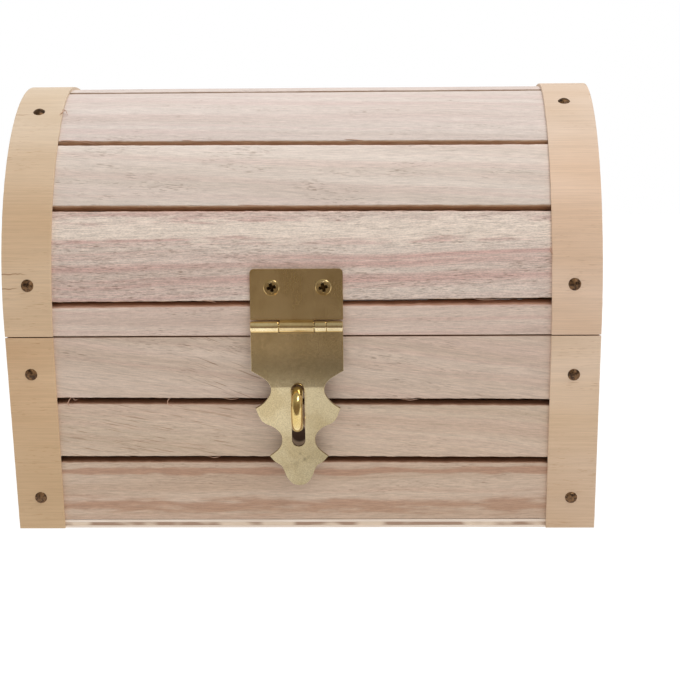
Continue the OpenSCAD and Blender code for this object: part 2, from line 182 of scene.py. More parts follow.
def board_loop(low, high, thick, r, n, slant, side):
    """The section of a board between two edges on its outer face, corners rounded. slant says how far
    the low and the high side move per mm of depth, side(d) how far they wander."""
    turn = [radians(a) for a in (30, 60)]
    depths = [r, 0.35 * thick, 0.7 * thick]
    slant_low, slant_high = slant
    top = 1.9 * r
    loop = [(low + r, 0.0)]
    loop += [(q, 0.0) for q in spread(low + 1.3 * r, high - 1.1 * top, n)]
    loop += [(high - top, 0.0)]
    loop += [(high - top + top * sin(t), r - r * cos(t)) for t in turn]
    loop += [(high + slant_high * d + side(d)[1], d) for d in depths]
    loop += [(q, thick) for q in spread(high + slant_high * thick, low + slant_low * thick, n)]
    loop += [(low + slant_low * d - side(d)[0], d) for d in reversed(depths)]
    loop += [(low + r - r * sin(t), r - r * cos(t)) for t in reversed(turn)]
    return loop


def lathe(profile, n, wobble=None):
    """Points and faces of a profile of (radius, height) turned about Z; it starts and ends on the axis."""
    points = [(0.0, 0.0, profile[0][1])]
    rows = profile[1:-1]
    for r, h in rows:
        for k in range(n):
            a = 2 * pi * k / n
            dr, dh = wobble(a, r, h) if wobble else (0.0, 0.0)
            points.append(((r + dr) * cos(a), (r + dr) * sin(a), h + dh))
    points.append((0.0, 0.0, profile[-1][1]))
    faces = []
    for k in range(n):
        m = (k + 1) % n
        faces.append((0, 1 + k, 1 + m))
        for i in range(len(rows) - 1):
            a = 1 + i * n
            faces.append((a + k, a + n + k, a + n + m, a + m))
        a = 1 + (len(rows) - 1) * n
        faces.append((a + k, len(points) - 1, a + m))
    return points, faces


def tube(path, radii, n):
    """Points and faces of a round wire along a path, with closed ends."""
    path = [Vector(p) for p in path]
    points = []
    across = None
    for i, p in enumerate(path):
        along = (path[min(i + 1, len(path) - 1)] - path[max(i - 1, 0)]).normalized()
        if across is None:
            across = along.orthogonal().normalized()
        across = (across - along * across.dot(along)).normalized()
        other = along.cross(across)
        for k in range(n):
            a = 2 * pi * k / n
            points.append(tuple(p + radii[i] * (cos(a) * across + sin(a) * other)))
    faces = skin(len(path), n)
    faces.append(tuple(range(n)))
    faces.append(tuple(range(len(points) - n, len(points))))
    return points, faces


def joined(parts):
    """Several (points, faces) as one."""
    points = []
    faces = []
    for more, sides in parts:
        start = len(points)
        points += more
        faces += [tuple(start + i for i in f) for f in sides]
    return points, faces


def moved(part, matrix):
    points, faces = part
    return [tuple(matrix @ Vector(p)) for p in points], faces


def curve_through(points, steps):
    """A smooth line through the points."""
    out = []
    for i in range(len(points) - 1):
        p0 = points[max(i - 1, 0)]
        p1 = points[i]
        p2 = points[i + 1]
        p3 = points[min(i + 2, len(points) - 1)]
        for s in range(steps):
            t = s / steps
            out.append(tuple(
                0.5 * (2 * b + (c - a) * t + (2 * a - 5 * b + 4 * c - d) * t * t
                       + (3 * b - a - 3 * c + d) * t ** 3)
                for a, b, c, d in zip(p0, p1, p2, p3)))
    out.append(tuple(points[-1]))
    return out


SHEET_SHARP = 14


def plate(name, outlines, thick, edge, cuts, shape, grain_of):
    """A sheet with holes from closed outlines of (a, b), its edges softened. It is cut into strips at
    the heights in cuts, then shape(a, b, c) places each point; c runs from 0 at the back to thick."""
    flat = bpy.data.curves.new(name, "CURVE")
    flat.dimensions = "2D"
    flat.fill_mode = "BOTH"
    flat.extrude = thick / 2 - edge
    flat.bevel_depth = edge
    flat.bevel_resolution = 1
    flat.offset = -edge
    for outline in outlines:
        line = flat.splines.new("POLY")
        line.points.add(len(outline) - 1)
        for p, (a, b) in zip(line.points, outline):
            p.co = (a, b, 0, 1)
        line.use_cyclic_u = True
    temp = linked(name, flat)
    mesh = bpy.data.meshes.new_from_object(temp.evaluated_get(bpy.context.evaluated_depsgraph_get()))
    bpy.data.objects.remove(temp)
    bpy.data.curves.remove(flat)
    bm = bmesh.new()
    bm.from_mesh(mesh)
    bmesh.ops.remove_doubles(bm, verts=bm.verts, dist=1e-4)
    for b in cuts:
        everything = bm.verts[:] + bm.edges[:] + bm.faces[:]
        bmesh.ops.bisect_plane(bm, geom=everything, plane_co=(0, b, 0), plane_no=(0, 1, 0))
    bm.verts.ensure_lookup_table()
    bm.verts.index_update()
    points = []
    grain = []
    for v in bm.verts:
        a, b, c = v.co
        points.append(shape(a, b, c + thick / 2))
        grain.append(grain_of(a, b, c))
    faces = [tuple(v.index for v in f.verts) for f in bm.faces]
    bm.free()
    bpy.data.meshes.remove(mesh)
    return solid(name, points, faces, grain, SHEET_SHARP)


# ---- materials ----
WHITE = (1.0, 1.0, 1.0, 1.0)


class Nodes:
    """A node tree and short ways to add to it."""

    def __init__(self, tree):
        self.tree = tree

    def node(self, kind, inputs=(), **settings):
        n = self.tree.nodes.new(kind)
        for key, value in settings.items():
            setattr(n, key, value)
        for key, value in dict(inputs).items():
            if isinstance(value, bpy.types.NodeSocket):
                self.tree.links.new(value, n.inputs[key])
            else:
                n.inputs[key].default_value = value
        return n

    def ramp(self, value, low, high, to_low=0.0, to_high=1.0):
        inputs = {"Value": value, "From Min": low, "From Max": high, "To Min": to_low, "To Max": to_high}
        return self.node("ShaderNodeMapRange", inputs, interpolation_type="SMOOTHSTEP").outputs[0]

    def mix(self, factor, a, b, kind="MIX"):
        inputs = {0: factor, 6: a, 7: b}
        return self.node("ShaderNodeMix", inputs, data_type="RGBA", blend_type=kind).outputs[2]

    def split(self, vector):
        return self.node("ShaderNodeSeparateXYZ", {0: vector}).outputs


class Look(Nodes):
    """A material."""

    def __init__(self, name):
        self.material = bpy.data.materials.new(name)
        self.material.use_nodes = True
        super().__init__(self.material.node_tree)
        self.shader = self.tree.nodes["Principled BSDF"]

    def math(self, kind, a, b=0.0, c=0.0):
        return self.node("ShaderNodeMath", {0: a, 1: b, 2: c}, operation=kind).outputs[0]

    def plus(self, a, b):
        return self.math("ADD", a, b)

    def minus(self, a, b):
        return self.math("SUBTRACT", a, b)

    def times(self, a, b):
        return self.math("MULTIPLY", a, b)

    def times_plus(self, a, b, c):
        return self.math("MULTIPLY_ADD", a, b, c)

    def away(self, value, centre):
        return self.math("ABSOLUTE", self.minus(value, centre))

    def grain(self):
        return self.node("ShaderNodeAttribute", attribute_name="grain").outputs["Vector"]

    def noise(self, vector, scale, detail=2.0, shift=0.0, rough=0.5):
        """Noise stretched by scale, a value per axis in 1/mm."""
        at = self.node("ShaderNodeVectorMath", {0: vector, 1: scale, 2: (shift, shift * 0.7, shift * 1.3)},
                       operation="MULTIPLY_ADD").outputs[0]
        inputs = {"Vector": at, "Scale": 1.0, "Detail": detail, "Roughness": rough}
        return self.node("ShaderNodeTexNoise", inputs).outputs["Fac"]

    def point(self, x, y, z=0.0):
        return self.node("ShaderNodeCombineXYZ", {0: x, 1: y, 2: z}).outputs[0]

    def distance(self, vector, x, y):
        inputs = {0: vector, 1: (x, y, 0.0)}
        return self.node("ShaderNodeVectorMath", inputs, operation="DISTANCE").outputs["Value"]

    def scaled(self, colour, value):
        """A colour made lighter or darker."""
        return self.node("ShaderNodeVectorMath", {0: colour, "Scale": value}, operation="SCALE").outputs[0]

    def bump(self, height, distance, strength=1.0):
        n = self.node("ShaderNodeBump", {"Height": height, "Distance": distance, "Strength": strength})
        self.tree.links.new(n.outputs[0], self.shader.inputs["Normal"])

    def into(self, socket, value):
        if isinstance(value, bpy.types.NodeSocket):
            self.tree.links.new(value, self.shader.inputs[socket])
        else:
            self.shader.inputs[socket].default_value = value


PORE = srgb(138, 112, 94)
FIGURE_LINE = srgb(148, 112, 86)
# painted shadow: the dark brown of the painted shadow spots
SHADOW_SPOT_COLOUR = srgb(62, 36, 22)
# sawn edges: the upward ones in the wood's sawn colour; the downward ones lighter, painted light on faces
# that look down into the gaps
SAWN_UP = (srgb(192, 148, 124), srgb(166, 120, 94))
SAWN_DOWN_PAINTED_LIGHT = (srgb(222, 192, 158), srgb(196, 158, 122))
GRAIN_SHIFT = 37.0
WOOD_SPECULAR = 0.25


def wood(name, light, dark, warm, seed, tilt=0.0, warm_part=0.5, pores=0.5, pore_spread=0.5,
         speckle=0.6, streaks=1.0, zones=(), figure=None, holes=(), edges=1.0, object_grain=None):
    """Sawn wood whose grain runs along X. light, dark and warm are colours in 0..255, zones are
    (u, half width, colour, amount, hard) streaks in place, figure is (x from, x to, tilt, amount) of dark
    slanting lines, holes are painted shadow spots (x, u, radius), edges is how light the sawn edges are, set
    below 1 to paint shade into the gaps between slats, and object_grain turns the object's own axes to the
    grain of a piece without the attribute."""
    look = Look(name)
    if object_grain:
        inputs = {"Vector": look.node("ShaderNodeTexCoord").outputs["Object"], "Rotation": object_grain,
                  "Scale": (1 / MM, 1 / MM, 1 / MM)}
        at = look.node("ShaderNodeMapping", inputs, vector_type="POINT").outputs[0]
    else:
        at = look.grain()
    x, u, d = look.split(at)
    slanted = look.times_plus(x, tilt, u)
    warp = look.times_plus(look.noise(at, (1 / 70, 1 / 18, 0.1), 1.0, seed), 5.0, -2.5)
    ring_at = look.point(x, look.plus(slanted, warp), d)
    broad = look.noise(ring_at, (1 / 170, 1 / 5.5, 1 / 9), 2.0, seed + 3)
    colour = look.mix(look.ramp(broad, 0.30, 0.72), srgb(*light), srgb(*dark))
    pinks = look.noise(ring_at, (1 / 240, 1 / 3.2, 1 / 9), 3.0, seed + 11)
    colour = look.mix(look.times(look.ramp(pinks, 0.42, 0.68), warm_part), colour, srgb(*warm))
    for k, (zone_u, half, tint, amount, hard) in enumerate(zones):
        edge = look.noise(at, (1 / 14, 1 / 2.0, 1 / 3), 3.0, seed + 20 + k)
        away = look.away(look.times_plus(edge, 2.4 * half, u), zone_u + 1.2 * half)
        fact = look.ramp(away, half, half * (1.0 - hard), 0.0, amount)
        colour = look.mix(fact, colour, tint)
        pores = look.times(pores, look.minus(1.0, look.times(fact, 0.7)))
    if figure:
        from_x, to_x, slope, amount = figure
        lines_at = look.point(x, look.times_plus(x, slope, u), d)
        lines = look.ramp(look.noise(lines_at, (1 / 11, 1 / 0.5, 1 / 3), 1.0, seed + 31, 0.6), 0.60, 0.70)
        here = look.times(look.ramp(x, from_x - 8, from_x + 8), look.ramp(x, to_x + 12, to_x - 4))
        colour = look.mix(look.times(look.times(lines, here), amount), colour, FIGURE_LINE)
    fine = look.noise(ring_at, (1 / 9, 1 / 0.5, 1 / 0.5), 3.0, seed + 5, 0.65)
    hair = look.noise(ring_at, (1 / 3.5, 1 / 0.3, 1 / 0.5), 1.0, seed + 6)
    dust = look.noise(at, (1 / 0.8, 1 / 0.36, 1 / 0.4), 2.0, seed + 7, 0.7)
    level = look.plus(look.ramp(fine, 0.3, 0.7, 1.0 - 0.09 * streaks, 1.0 + 0.07 * streaks),
                      look.ramp(dust, 0.3, 0.7, -0.06 * speckle, 0.06 * speckle))
    level = look.plus(level, look.ramp(hair, 0.3, 0.7, -0.08 * streaks, 0.06 * streaks))
    colour = look.scaled(colour, level)
    dashes = look.noise(look.point(x, slanted, d), (1 / 2.3, 1 / 0.22, 1 / 0.5), 0.0, seed + 9)
    places = look.noise(ring_at, (1 / 26, 1 / 4.5, 1 / 5), 2.0, seed + 13)
    places = look.ramp(places, 0.62 - 0.25 * pore_spread, 0.75 - 0.2 * pore_spread)
    pore = look.times(look.times(look.ramp(dashes, 0.60, 0.74), places), pores)
    colour = look.mix(pore, colour, PORE)
    # painted shadow: each entry in holes is a dark spot painted where shade falls
    for shadow_x, shadow_u, radius in holes:
        away = look.distance(look.point(x, u), shadow_x, shadow_u)
        colour = look.mix(look.ramp(away, radius, radius * 0.7, 0.0, 0.92), colour, SHADOW_SPOT_COLOUR)
    if not object_grain:
        sawn = look.ramp(look.math("ABSOLUTE", d), 0.02, 0.30)
        torn = look.ramp(look.noise(at, (1 / 9, 1 / 1.5, 1 / 0.5), 3.0, seed + 17), 0.35, 0.65)
        upward = look.ramp(d, -0.05, 0.05)
        # painted light: the downward sawn edges take the lighter of the two colour pairs
        edge_colour = look.mix(upward, look.mix(torn, *SAWN_DOWN_PAINTED_LIGHT), look.mix(torn, *SAWN_UP))
        # painted shade: edges below 1 darkens and warms the sawn edges, standing in for the shade in the gaps
        # between slats
        if edges < 1.0:
            edge_colour = look.mix(1.0, edge_colour, (edges, edges * 0.88, edges * 0.74, 1.0), "MULTIPLY")
        colour = look.mix(look.times(sawn, 0.85), colour, edge_colour)
    look.into("Base Color", colour)
    look.into("Roughness", look.ramp(fine, 0.3, 0.7, 0.86, 0.70))
    look.into("Specular IOR Level", WOOD_SPECULAR)
    height = look.minus(look.times(fine, 0.5), look.times(pore, 0.9))
    look.bump(look.plus(height, look.times(dust, 0.25)), 0.00009, 0.75)
    return look.material


def veneer(name, light, dark, seed, tints, cracks=()):
    """Rotary-cut veneer, its grain along X across the band. light and dark are colours in 0..255,
    tints are two (u, factors) between which it is toned, and cracks are (u, x from, x to) in mm."""
    look = Look(name)
    at = look.grain()
    x, u, d = look.split(at)
    slow = look.noise(at, (1 / 60, 1 / 22, 0.2), 2.0, seed)
    colour = look.mix(look.ramp(slow, 0.25, 0.75), srgb(*light), srgb(*dark))
    line = look.noise(at, (1 / 26, 1 / 0.55, 0.4), 3.0, seed + 2, 0.6)
    thin = look.noise(at, (1 / 7, 1 / 0.3, 0.4), 2.0, seed + 4, 0.6)
    level = look.plus(look.ramp(line, 0.3, 0.7, 0.95, 1.04), look.ramp(thin, 0.3, 0.7, -0.03, 0.03))
    colour = look.scaled(colour, level)
    (low_u, low_tint), (high_u, high_tint) = tints
    tint = look.mix(look.ramp(u, low_u, high_u), low_tint + (1.0,), high_tint + (1.0,))
    colour = look.mix(1.0, colour, tint, "MULTIPLY")
    dash = look.ramp(look.noise(at, (1 / 3.5, 1 / 0.28, 0.4), 1.0, seed + 6), 0.63, 0.73)
    rare = look.ramp(look.noise(at, (1 / 20, 1 / 9, 0.2), 1.0, seed + 8), 0.5, 0.65)
    dashes = look.times(look.times(dash, rare), 0.45)
    colour = look.mix(dashes, colour, srgb(168, 124, 82))
    depth = dashes
    wave = look.times_plus(look.noise(at, (1 / 4, 0, 0), 2.0, seed + 10), 1.6, -0.8)
    for crack_u, from_x, to_x in cracks:
        away = look.away(look.plus(u, wave), crack_u)
        inside = look.times(look.ramp(x, from_x - 0.5, from_x + 0.5), look.ramp(x, to_x + 3.0, to_x - 1.0))
        crack = look.times(look.ramp(away, 0.28, 0.05), inside)
        colour = look.mix(look.times(crack, 0.7), colour, srgb(142, 96, 60))
        depth = look.plus(depth, crack)
    edge = look.ramp(d, -0.75, -0.4)
    colour = look.mix(look.times(edge, 0.35), colour, srgb(238, 214, 186))
    look.into("Base Color", colour)
    look.into("Roughness", look.ramp(line, 0.3, 0.7, 0.78, 0.6))
    look.into("Specular IOR Level", 0.3)
    look.bump(look.minus(look.times(line, 0.7), depth), 0.00007, 0.7)
    return look.material


def ply_look():
    """Plywood: pale outer plies and a browner, patchy core, told apart by height in the board."""
    look = Look("plywood")
    at = look.grain()
    z = look.split(at)[2]
    line = look.noise(at, (1 / 20, 1 / 0.8, 1 / 0.25), 3.0, 2.0, 0.6)
    pale = look.mix(look.ramp(line, 0.3, 0.7), srgb(238, 224, 210), srgb(222, 204, 186))
    patch = look.noise(at, (1 / 12, 0.02, 0.1), 1.0, 5.0)
    core = look.mix(look.ramp(patch, 0.42, 0.58), srgb(230, 210, 188), srgb(172, 144, 124))
    core = look.mix(look.ramp(line, 0.35, 0.75, 0.0, 0.25), core, srgb(140, 106, 80))
    inner = look.times(look.ramp(z, 0.75, 0.95), look.ramp(z, 2.15, 1.95))
    colour = look.mix(inner, pale, core)
    look.into("Base Color", colour)
    look.into("Roughness", look.ramp(line, 0.3, 0.7, 0.85, 0.7))
    look.into("Specular IOR Level", WOOD_SPECULAR)
    look.bump(line, 0.0001, 0.7)
    return look.material


def brass(name, light, dark, seed, rough, brush=(1 / 0.3, 1 / 3, 1 / 0.3), dents=0.0, spots=0.3,
          painted_shades=(), dent_shade_spots=()):
    """Brass with fine brush lines, faint tarnish and small dents. light and dark are colours in 0..255,
    shades are (axis, from mm, to mm, level at from, level at to): painted light and shade that grow along
    the sheet, marks are (x, z, radius, level): painted shade on small dents."""
    look = Look(name)
    at = look.grain()
    lines = look.noise(at, brush, 3.0, seed, 0.65)
    cloud = look.noise(at, (1 / 7, 1 / 9, 1 / 7), 3.0, seed + 4)
    colour = look.mix(look.ramp(cloud, 0.38, 0.66), srgb(*light), srgb(*dark))
    along = look.split(at)
    for axis, start, end, level_start, level_end in painted_shades:
        colour = look.scaled(colour, look.ramp(along[axis], start, end, level_start, level_end))
    for mark_x, mark_z, radius, level in dent_shade_spots:
        away = look.distance(look.point(along[0], along[1]), mark_x, mark_z)
        colour = look.scaled(colour, look.ramp(away, 0.0, radius, level, 1.0))
    speck = look.ramp(look.noise(at, (1 / 0.5, 1 / 0.6, 1 / 0.5), 1.0, seed + 6), 0.68, 0.78, 0.0, spots)
    colour = look.mix(speck, colour, srgb(120, 96, 56))
    grit = look.noise(at, (1 / 0.35, 1 / 0.35, 1 / 0.35), 1.0, seed + 12)
    level = look.plus(look.ramp(lines, 0.3, 0.7, 0.97, 1.02), look.ramp(grit, 0.3, 0.7, -0.10, 0.10))
    colour = look.scaled(colour, level)
    look.into("Base Color", colour)
    look.into("Metallic", 1.0)
    look.into("Roughness", look.plus(look.ramp(lines, 0.3, 0.7, rough - 0.012, rough + 0.012),
                                     look.ramp(cloud, 0.4, 0.7, 0.0, 0.03)))
    dent = look.noise(at, (1 / 2.4, 1 / 2.0, 1 / 2.4), 2.0, seed + 9)
    height = look.plus(look.times(lines, 0.004), look.times(dent, dents))
    look.bump(height, 0.00012, 0.6)
    return look.material


def bronze_look():
    look = Look("bronze_nail")
    at = look.grain()
    cloud = look.noise(at, (1 / 1.1, 1 / 1.1, 1 / 1.1), 3.0, 1.0)
    colour = look.mix(look.ramp(cloud, 0.38, 0.62), srgb(70, 52, 40), srgb(132, 100, 70))
    speck = look.ramp(look.noise(at, (1 / 0.35, 1 / 0.35, 1 / 0.35), 2.0, 4.0), 0.6, 0.75, 0.0, 0.7)
    colour = look.mix(speck, colour, srgb(176, 140, 96))
    look.into("Base Color", colour)
    look.into("Metallic", 0.85)
    look.into("Roughness", look.ramp(cloud, 0.35, 0.65, 0.34, 0.55))
    look.bump(look.noise(at, (1 / 0.7, 1 / 0.7, 1 / 0.7), 3.0, 8.0), 0.00016, 0.8)
    return look.material


# ---- slats ----
# edges are given where the slat meets the left and the right band, and run straight between
EDGE_X = 85.0
LINE = LID_LOW_Z - DOME_Z
CORNER_R = 0.36
GAP_SLANT = 0.17
WIDE_SLANT = 0.24
BODY_SLANT = 0.07
RAGGED = 0.32
FRONT_STEP = 1.0
BACK_STEP = 2.0
BACK_SEED = 20.0


def edge_at(pair, x):
    left, right = pair
    return left + (right - left) * (x + EDGE_X) / (2 * EDGE_X)


def slat(name, place, low, high, body, look, seed, step=FRONT_STEP,
         slant=(-GAP_SLANT, GAP_SLANT), ragged=(RAGGED, RAGGED), n=12):
    def section(x):
        a = edge_at(low, x) + rough(x, seed, ragged[0])
        b = edge_at(high, x) + rough(x, seed + 5.5, ragged[1])

        def side(d):
            wander = 0.4 * drift(x / 3, d * 1.3, seed)
            return wander * ragged[0], wander * ragged[1]
        return board_loop(a, b, SLAT_T, CORNER_R, n, slant, side)

    def face(x, u, d):
        lift = 0.05 + 0.05 * drift(x / 28, u / 7, seed)
        return place(x, u, d + lift if d < SLAT_T else d)

    shift = GRAIN_SHIFT * seed
    count = round(2 * SLAT_X / step)

    def grain_of(x, u, d):
        """Depth is stored negative on the lower edge, so that the lower sawn edge, which faces down, can be
        painted lighter as painted light, and as 0 on the ends and on the inside."""
        if abs(x) > SLAT_X - 0.01 or d > SLAT_T - 0.01:
            return x + shift, u, 0.0
        lower = u < (edge_at(low, x) + edge_at(high, x)) / 2
        return x + shift, u, -d if lower else d

    obj = swept(name, spread(-SLAT_X, SLAT_X, count), section, face, grain_of, strip_caps=True)
    return piece(obj, body, "slat_wood", look, name)


def rim_u(d):
    """Where the lid's flat underside meets the depth d, as a length round the slats' face."""
    return asin(LINE / (SLAT_R - d)) * SLAT_R


DOME_SLANT = (rim_u(SLAT_T) - rim_u(0.0)) / SLAT_T
WALL_SLANT = -sin(WALL_A)


def front_and_back(name, place, low, high, body, look, seed, **more):
    """A slat on the front, and its like on the back with straighter edges."""
    slat(name.replace("@", "front"), place, low, high, body, look, seed, **more)
    mean_low = (sum(low) / 2,) * 2
    mean_high = (sum(high) / 2,) * 2
    back = name.replace("@", "back")
    slat(back, turned(place), mean_low, mean_high, body, look, seed + BACK_SEED, BACK_STEP, **more)


def angles(left, right):
    return arc_u(left), arc_u(right)


RIM_EDGE = (rim_u(0.0), rim_u(0.0))
rim_look = wood(
    "slat_rim", (230, 212, 198), (214, 192, 178), (216, 182, 170), 1.0, warm_part=0.55, speckle=0.8)
lower_look = wood(
    "slat_wide", (230, 215, 203), (214, 194, 182), (212, 174, 165), 2.0, tilt=-0.02, warm_part=0.8, pores=0.6,
    pore_spread=1.0, speckle=1.7, streaks=1.3, zones=((17.5, 5.0, srgb(240, 226, 212), 0.85, 0.6),))
middle_look = wood(
    "slat_middle", (227, 215, 204), (214, 200, 188), (218, 194, 184), 3.0, tilt=0.05, warm_part=0.4,
    pores=0.55, pore_spread=0.45, streaks=0.85)
upper_look = wood(
    "slat_upper", (214, 202, 193), (204, 190, 180), (209, 186, 179), 4.0, tilt=0.03, pore_spread=0.4,
    streaks=0.85)
# painted shade: edges below 1 on the top slat and the body slats darkens their sawn edges in the gaps
top_look = wood("slat_top", (216, 203, 194), (204, 189, 179), (210, 187, 180), 5.0, pores=0.6, edges=0.45)
# painted shade: besides each board's own tone, the body slats' colours step darker from the upper slat to the
# lower one, darker towards the bottom
body_upper_look = wood(
    "slat_body_upper", (222, 203, 187), (208, 187, 169), (212, 180, 166), 6.0, tilt=0.12, warm_part=0.35,
    pore_spread=0.4, figure=(185.0, 212.0, 0.40, 0.6), edges=0.6)
# painted shadow: a dark spot on the middle front slat below the staple, seen through the flap's slot, where
# the flap casts shade on the wall
STAPLE_SHADOW_SPOT = (GRAIN_SHIFT * 7 + HASP_X, 34.4, 3.3)
body_middle_look = wood(
    "slat_body_middle", (214, 194, 174), (200, 178, 156), (204, 172, 154), 7.0, tilt=0.10, warm_part=0.4,
    pore_spread=0.45, figure=(176.0, 234.0, 0.20, 0.5), edges=0.6, holes=(STAPLE_SHADOW_SPOT,))
body_lower_look = wood(
    "slat_body_lower", (206, 184, 164), (192, 166, 144), (192, 158, 138), 8.0, tilt=-0.01, warm_part=0.4,
    edges=0.6, zones=(
        (20.9, 1.7, srgb(176, 136, 112), 0.75, 0.7),
        (8.2, 3.6, srgb(172, 132, 106), 0.7, 0.95)))

slat("lid_slat_front_rim", on_dome, RIM_EDGE, angles(-7.5, -6.9), "lid", rim_look, 1.0,
     slant=(DOME_SLANT, WIDE_SLANT), ragged=(0.0, RAGGED))
slat("lid_slat_back_rim", turned(on_dome), RIM_EDGE, angles(-7.2, -7.2), "lid", rim_look, 1.0 + BACK_SEED,
     BACK_STEP, slant=(DOME_SLANT, GAP_SLANT), ragged=(0.0, RAGGED))
for part, low, high, look, seed, n in (
        ("lower", angles(-5.7, -5.1), angles(21.4, 20.6), lower_look, 2.0, 22),
        ("middle", angles(23.0, 22.4), angles(44.5, 43.6), middle_look, 3.0, 18),
        ("upper", angles(46.1, 45.2), angles(77.0, 77.0), upper_look, 4.0, 22)):
    front_and_back(f"lid_slat_@_{part}", on_dome, low, high, "lid", look, seed, n=n)
slat("lid_slat_top", on_dome, angles(78.8, 78.8), angles(101.2, 101.2), "lid", top_look, 5.0, n=18)
to_rim = dict(slant=(-BODY_SLANT, WALL_SLANT), ragged=(RAGGED, 0.0), n=6)
rim = (RIM_Z, RIM_Z)
slat("front_slat_upper", on_wall, (47.5, 46.6), rim, "body", body_upper_look, 6.0, **to_rim)
slat("back_slat_upper", turned(on_wall), (47.1, 47.1), rim, "body", body_upper_look, 6.0 + BACK_SEED,
     BACK_STEP, **to_rim)
front_and_back("@_slat_middle", on_wall, (26.5, 25.8), (45.4, 44.5), "body", body_middle_look, 7.0, n=6,
               slant=(-BODY_SLANT, BODY_SLANT))
front_and_back("@_slat_lower", on_wall, (PLY_T, PLY_T), (24.4, 23.7), "body", body_lower_look, 8.0, n=6,
               slant=(0.0, BODY_SLANT), ragged=(0.05, RAGGED))


# ---- bottom board ----
def ply_section(x):
    """Front and back edges with the core set back a little between two pale plies."""
    core = 0.12 + 0.08 * drift(x / 2.3, 4.0, 0.0)
    nick = 0.04 * drift(x / 1.2, 9.0, 0.0)
    front = [(0.0, 0.12), (0.1, 0.0), (0.85, nick), (0.92, core)]
    front += [(2.05, core), (2.12, nick), (2.9, 0.0), (PLY_T, 0.1)]
    loop = [(on_wall(x, z, d)[1], z) for z, d in front]
    return loop + [(-y, z) for y, z in reversed(loop)]


def as_given(x, y, z):
    return x, y, z


board = swept("bottom_board", spread(-SLAT_X, SLAT_X, 200), ply_section, as_given, as_given)
piece(board, "body", "plywood", ply_look(), "bottom_board")


# ---- veneer bands ----
def band_loop(inner, outer):
    """Section across a band, thin edges slightly worn. Depth runs from -BAND_T outside to 0."""
    r = 0.14
    a, b = min(inner, outer), max(inner, outer)
    top = -BAND_T
    loop = [(a, 0.0), (a, top + r), (a + 0.3 * r, top + 0.3 * r), (a + r, top)]
    loop += [(q, top) for q in spread(a + 0.6, b - 0.6, 8)]
    loop += [(b - r, top), (b - 0.3 * r, top + 0.3 * r), (b, top + r), (b, 0.0)]
    loop += [(q, 0.0) for q in spread(b - 2, a + 2, 4)]
    return loop


def inner_edge(points, p):
    """The band's inner edge at p, between places (p, x)."""
    for (p0, x0), (p1, x1) in zip(points, points[1:]):
        if p <= p1:
            t = max(0.0, min(1.0, (p - p0) / (p1 - p0)))
            return x0 + (x1 - x0) * t
    return points[-1][1]


BAND_START = -16.2
BAND_SWEEP = 212.4
BAND_INSET = 0.06


def band_edges(sign, edge, at, wander, seed):
    """The band's inner and outer edge at a place along it; wander is where the noise is read there."""
    inner = sign * inner_edge(edge, at) + 0.10 * drift(wander[0], seed, 0.0)
    outer = sign * (HALF_W - BAND_INSET - 0.05 * drift(wander[1], seed, 5.0))
    return band_loop(inner, outer)


def lid_band(side, edge, look, seed):
    sign = -1 if side == "left" else 1

    def place(p, x, d):
        r = SLAT_R - d
        low = asin(LINE / r)
        a = low + (pi - 2 * low) * p
        sag = 0.05 + 0.05 * drift(p * 24, x / 9, seed)
        r -= sag if d < 0 else 0.0
        return x, -r * cos(a), DOME_Z + r * sin(a)

    def section(p):
        degrees = BAND_START + BAND_SWEEP * p
        return band_edges(sign, edge, min(degrees, 180 - degrees), (p * 60, p * 80), seed)

    def grain_of(p, x, d):
        return x, (BAND_START + BAND_SWEEP * p) * pi / 180 * SLAT_R, d

    obj = swept(f"lid_band_{side}", spread(0.0, 1.0, 160), section, place, grain_of)
    return piece(obj, "lid", "veneer", look, f"lid_band_{side}")


def body_band(side, face, edge, look, seed):
    sign = -1 if side == "left" else 1

    def place(z, x, d):
        sag = 0.04 + 0.04 * drift(z / 9, x / 9, seed)
        x, y, z = on_wall(x, z, 0.0)
        y += (d + (sag if d < 0 else 0.0)) * WALL_K
        return x, y if face == "front" else -y, z

    def section(z):
        return band_edges(sign, edge, z, (z / 4, z / 3), seed)

    obj = swept(f"body_band_{face}_{side}", spread(0.0, RIM_Z, 46), section, place, lambda z, x, d: (x, z, d))
    return piece(obj, "body", "veneer", look, f"body_band_{face}_{side}")


# ---- nails ----
NAIL_R = 2.1
NAIL_H = 1.1
SHANK_R = 0.7


def nail(seed):
    """A hammered dome on a short shank, upright, its rim on Z = 0."""
    ball = (NAIL_R ** 2 + NAIL_H ** 2) / (2 * NAIL_H)
    profile = [(0, NAIL_H)]
    for k in range(1, 8):
        a = k / 8 * asin(NAIL_R / ball)
        profile.append((ball * sin(a), NAIL_H - ball + ball * cos(a)))
    profile += [(NAIL_R, 0.10), (NAIL_R, 0.0), (NAIL_R - 0.15, -0.05)]
    profile += [(SHANK_R, -0.05), (SHANK_R, -6.5), (0.2, -8.0), (0, -8.0)]

    def wobble(a, r, h):
        if h < -0.1:
            return 0.0, 0.0
        v = noise.noise(Vector((cos(a) * r / 1.1, sin(a) * r / 1.1, seed)))
        return 0.03 * v, -0.05 + 0.10 * v * (1 - r / NAIL_R)
    return lathe(profile, 28, wobble)


def upright_at(point, normal):
    """A matrix that stands something made about Z on a surface."""
    z = Vector(normal).normalized()
    x = Vector((1, 0, 0))
    y = z.cross(x).normalized()
    return Matrix.Translation(point) @ Matrix((x, y, z)).transposed().to_4x4()


def dome_spot(x, degrees, r):
    a = radians(degrees)
    n = (0.0, -cos(a), sin(a))
    return (x, r * n[1], DOME_Z + r * n[2]), n


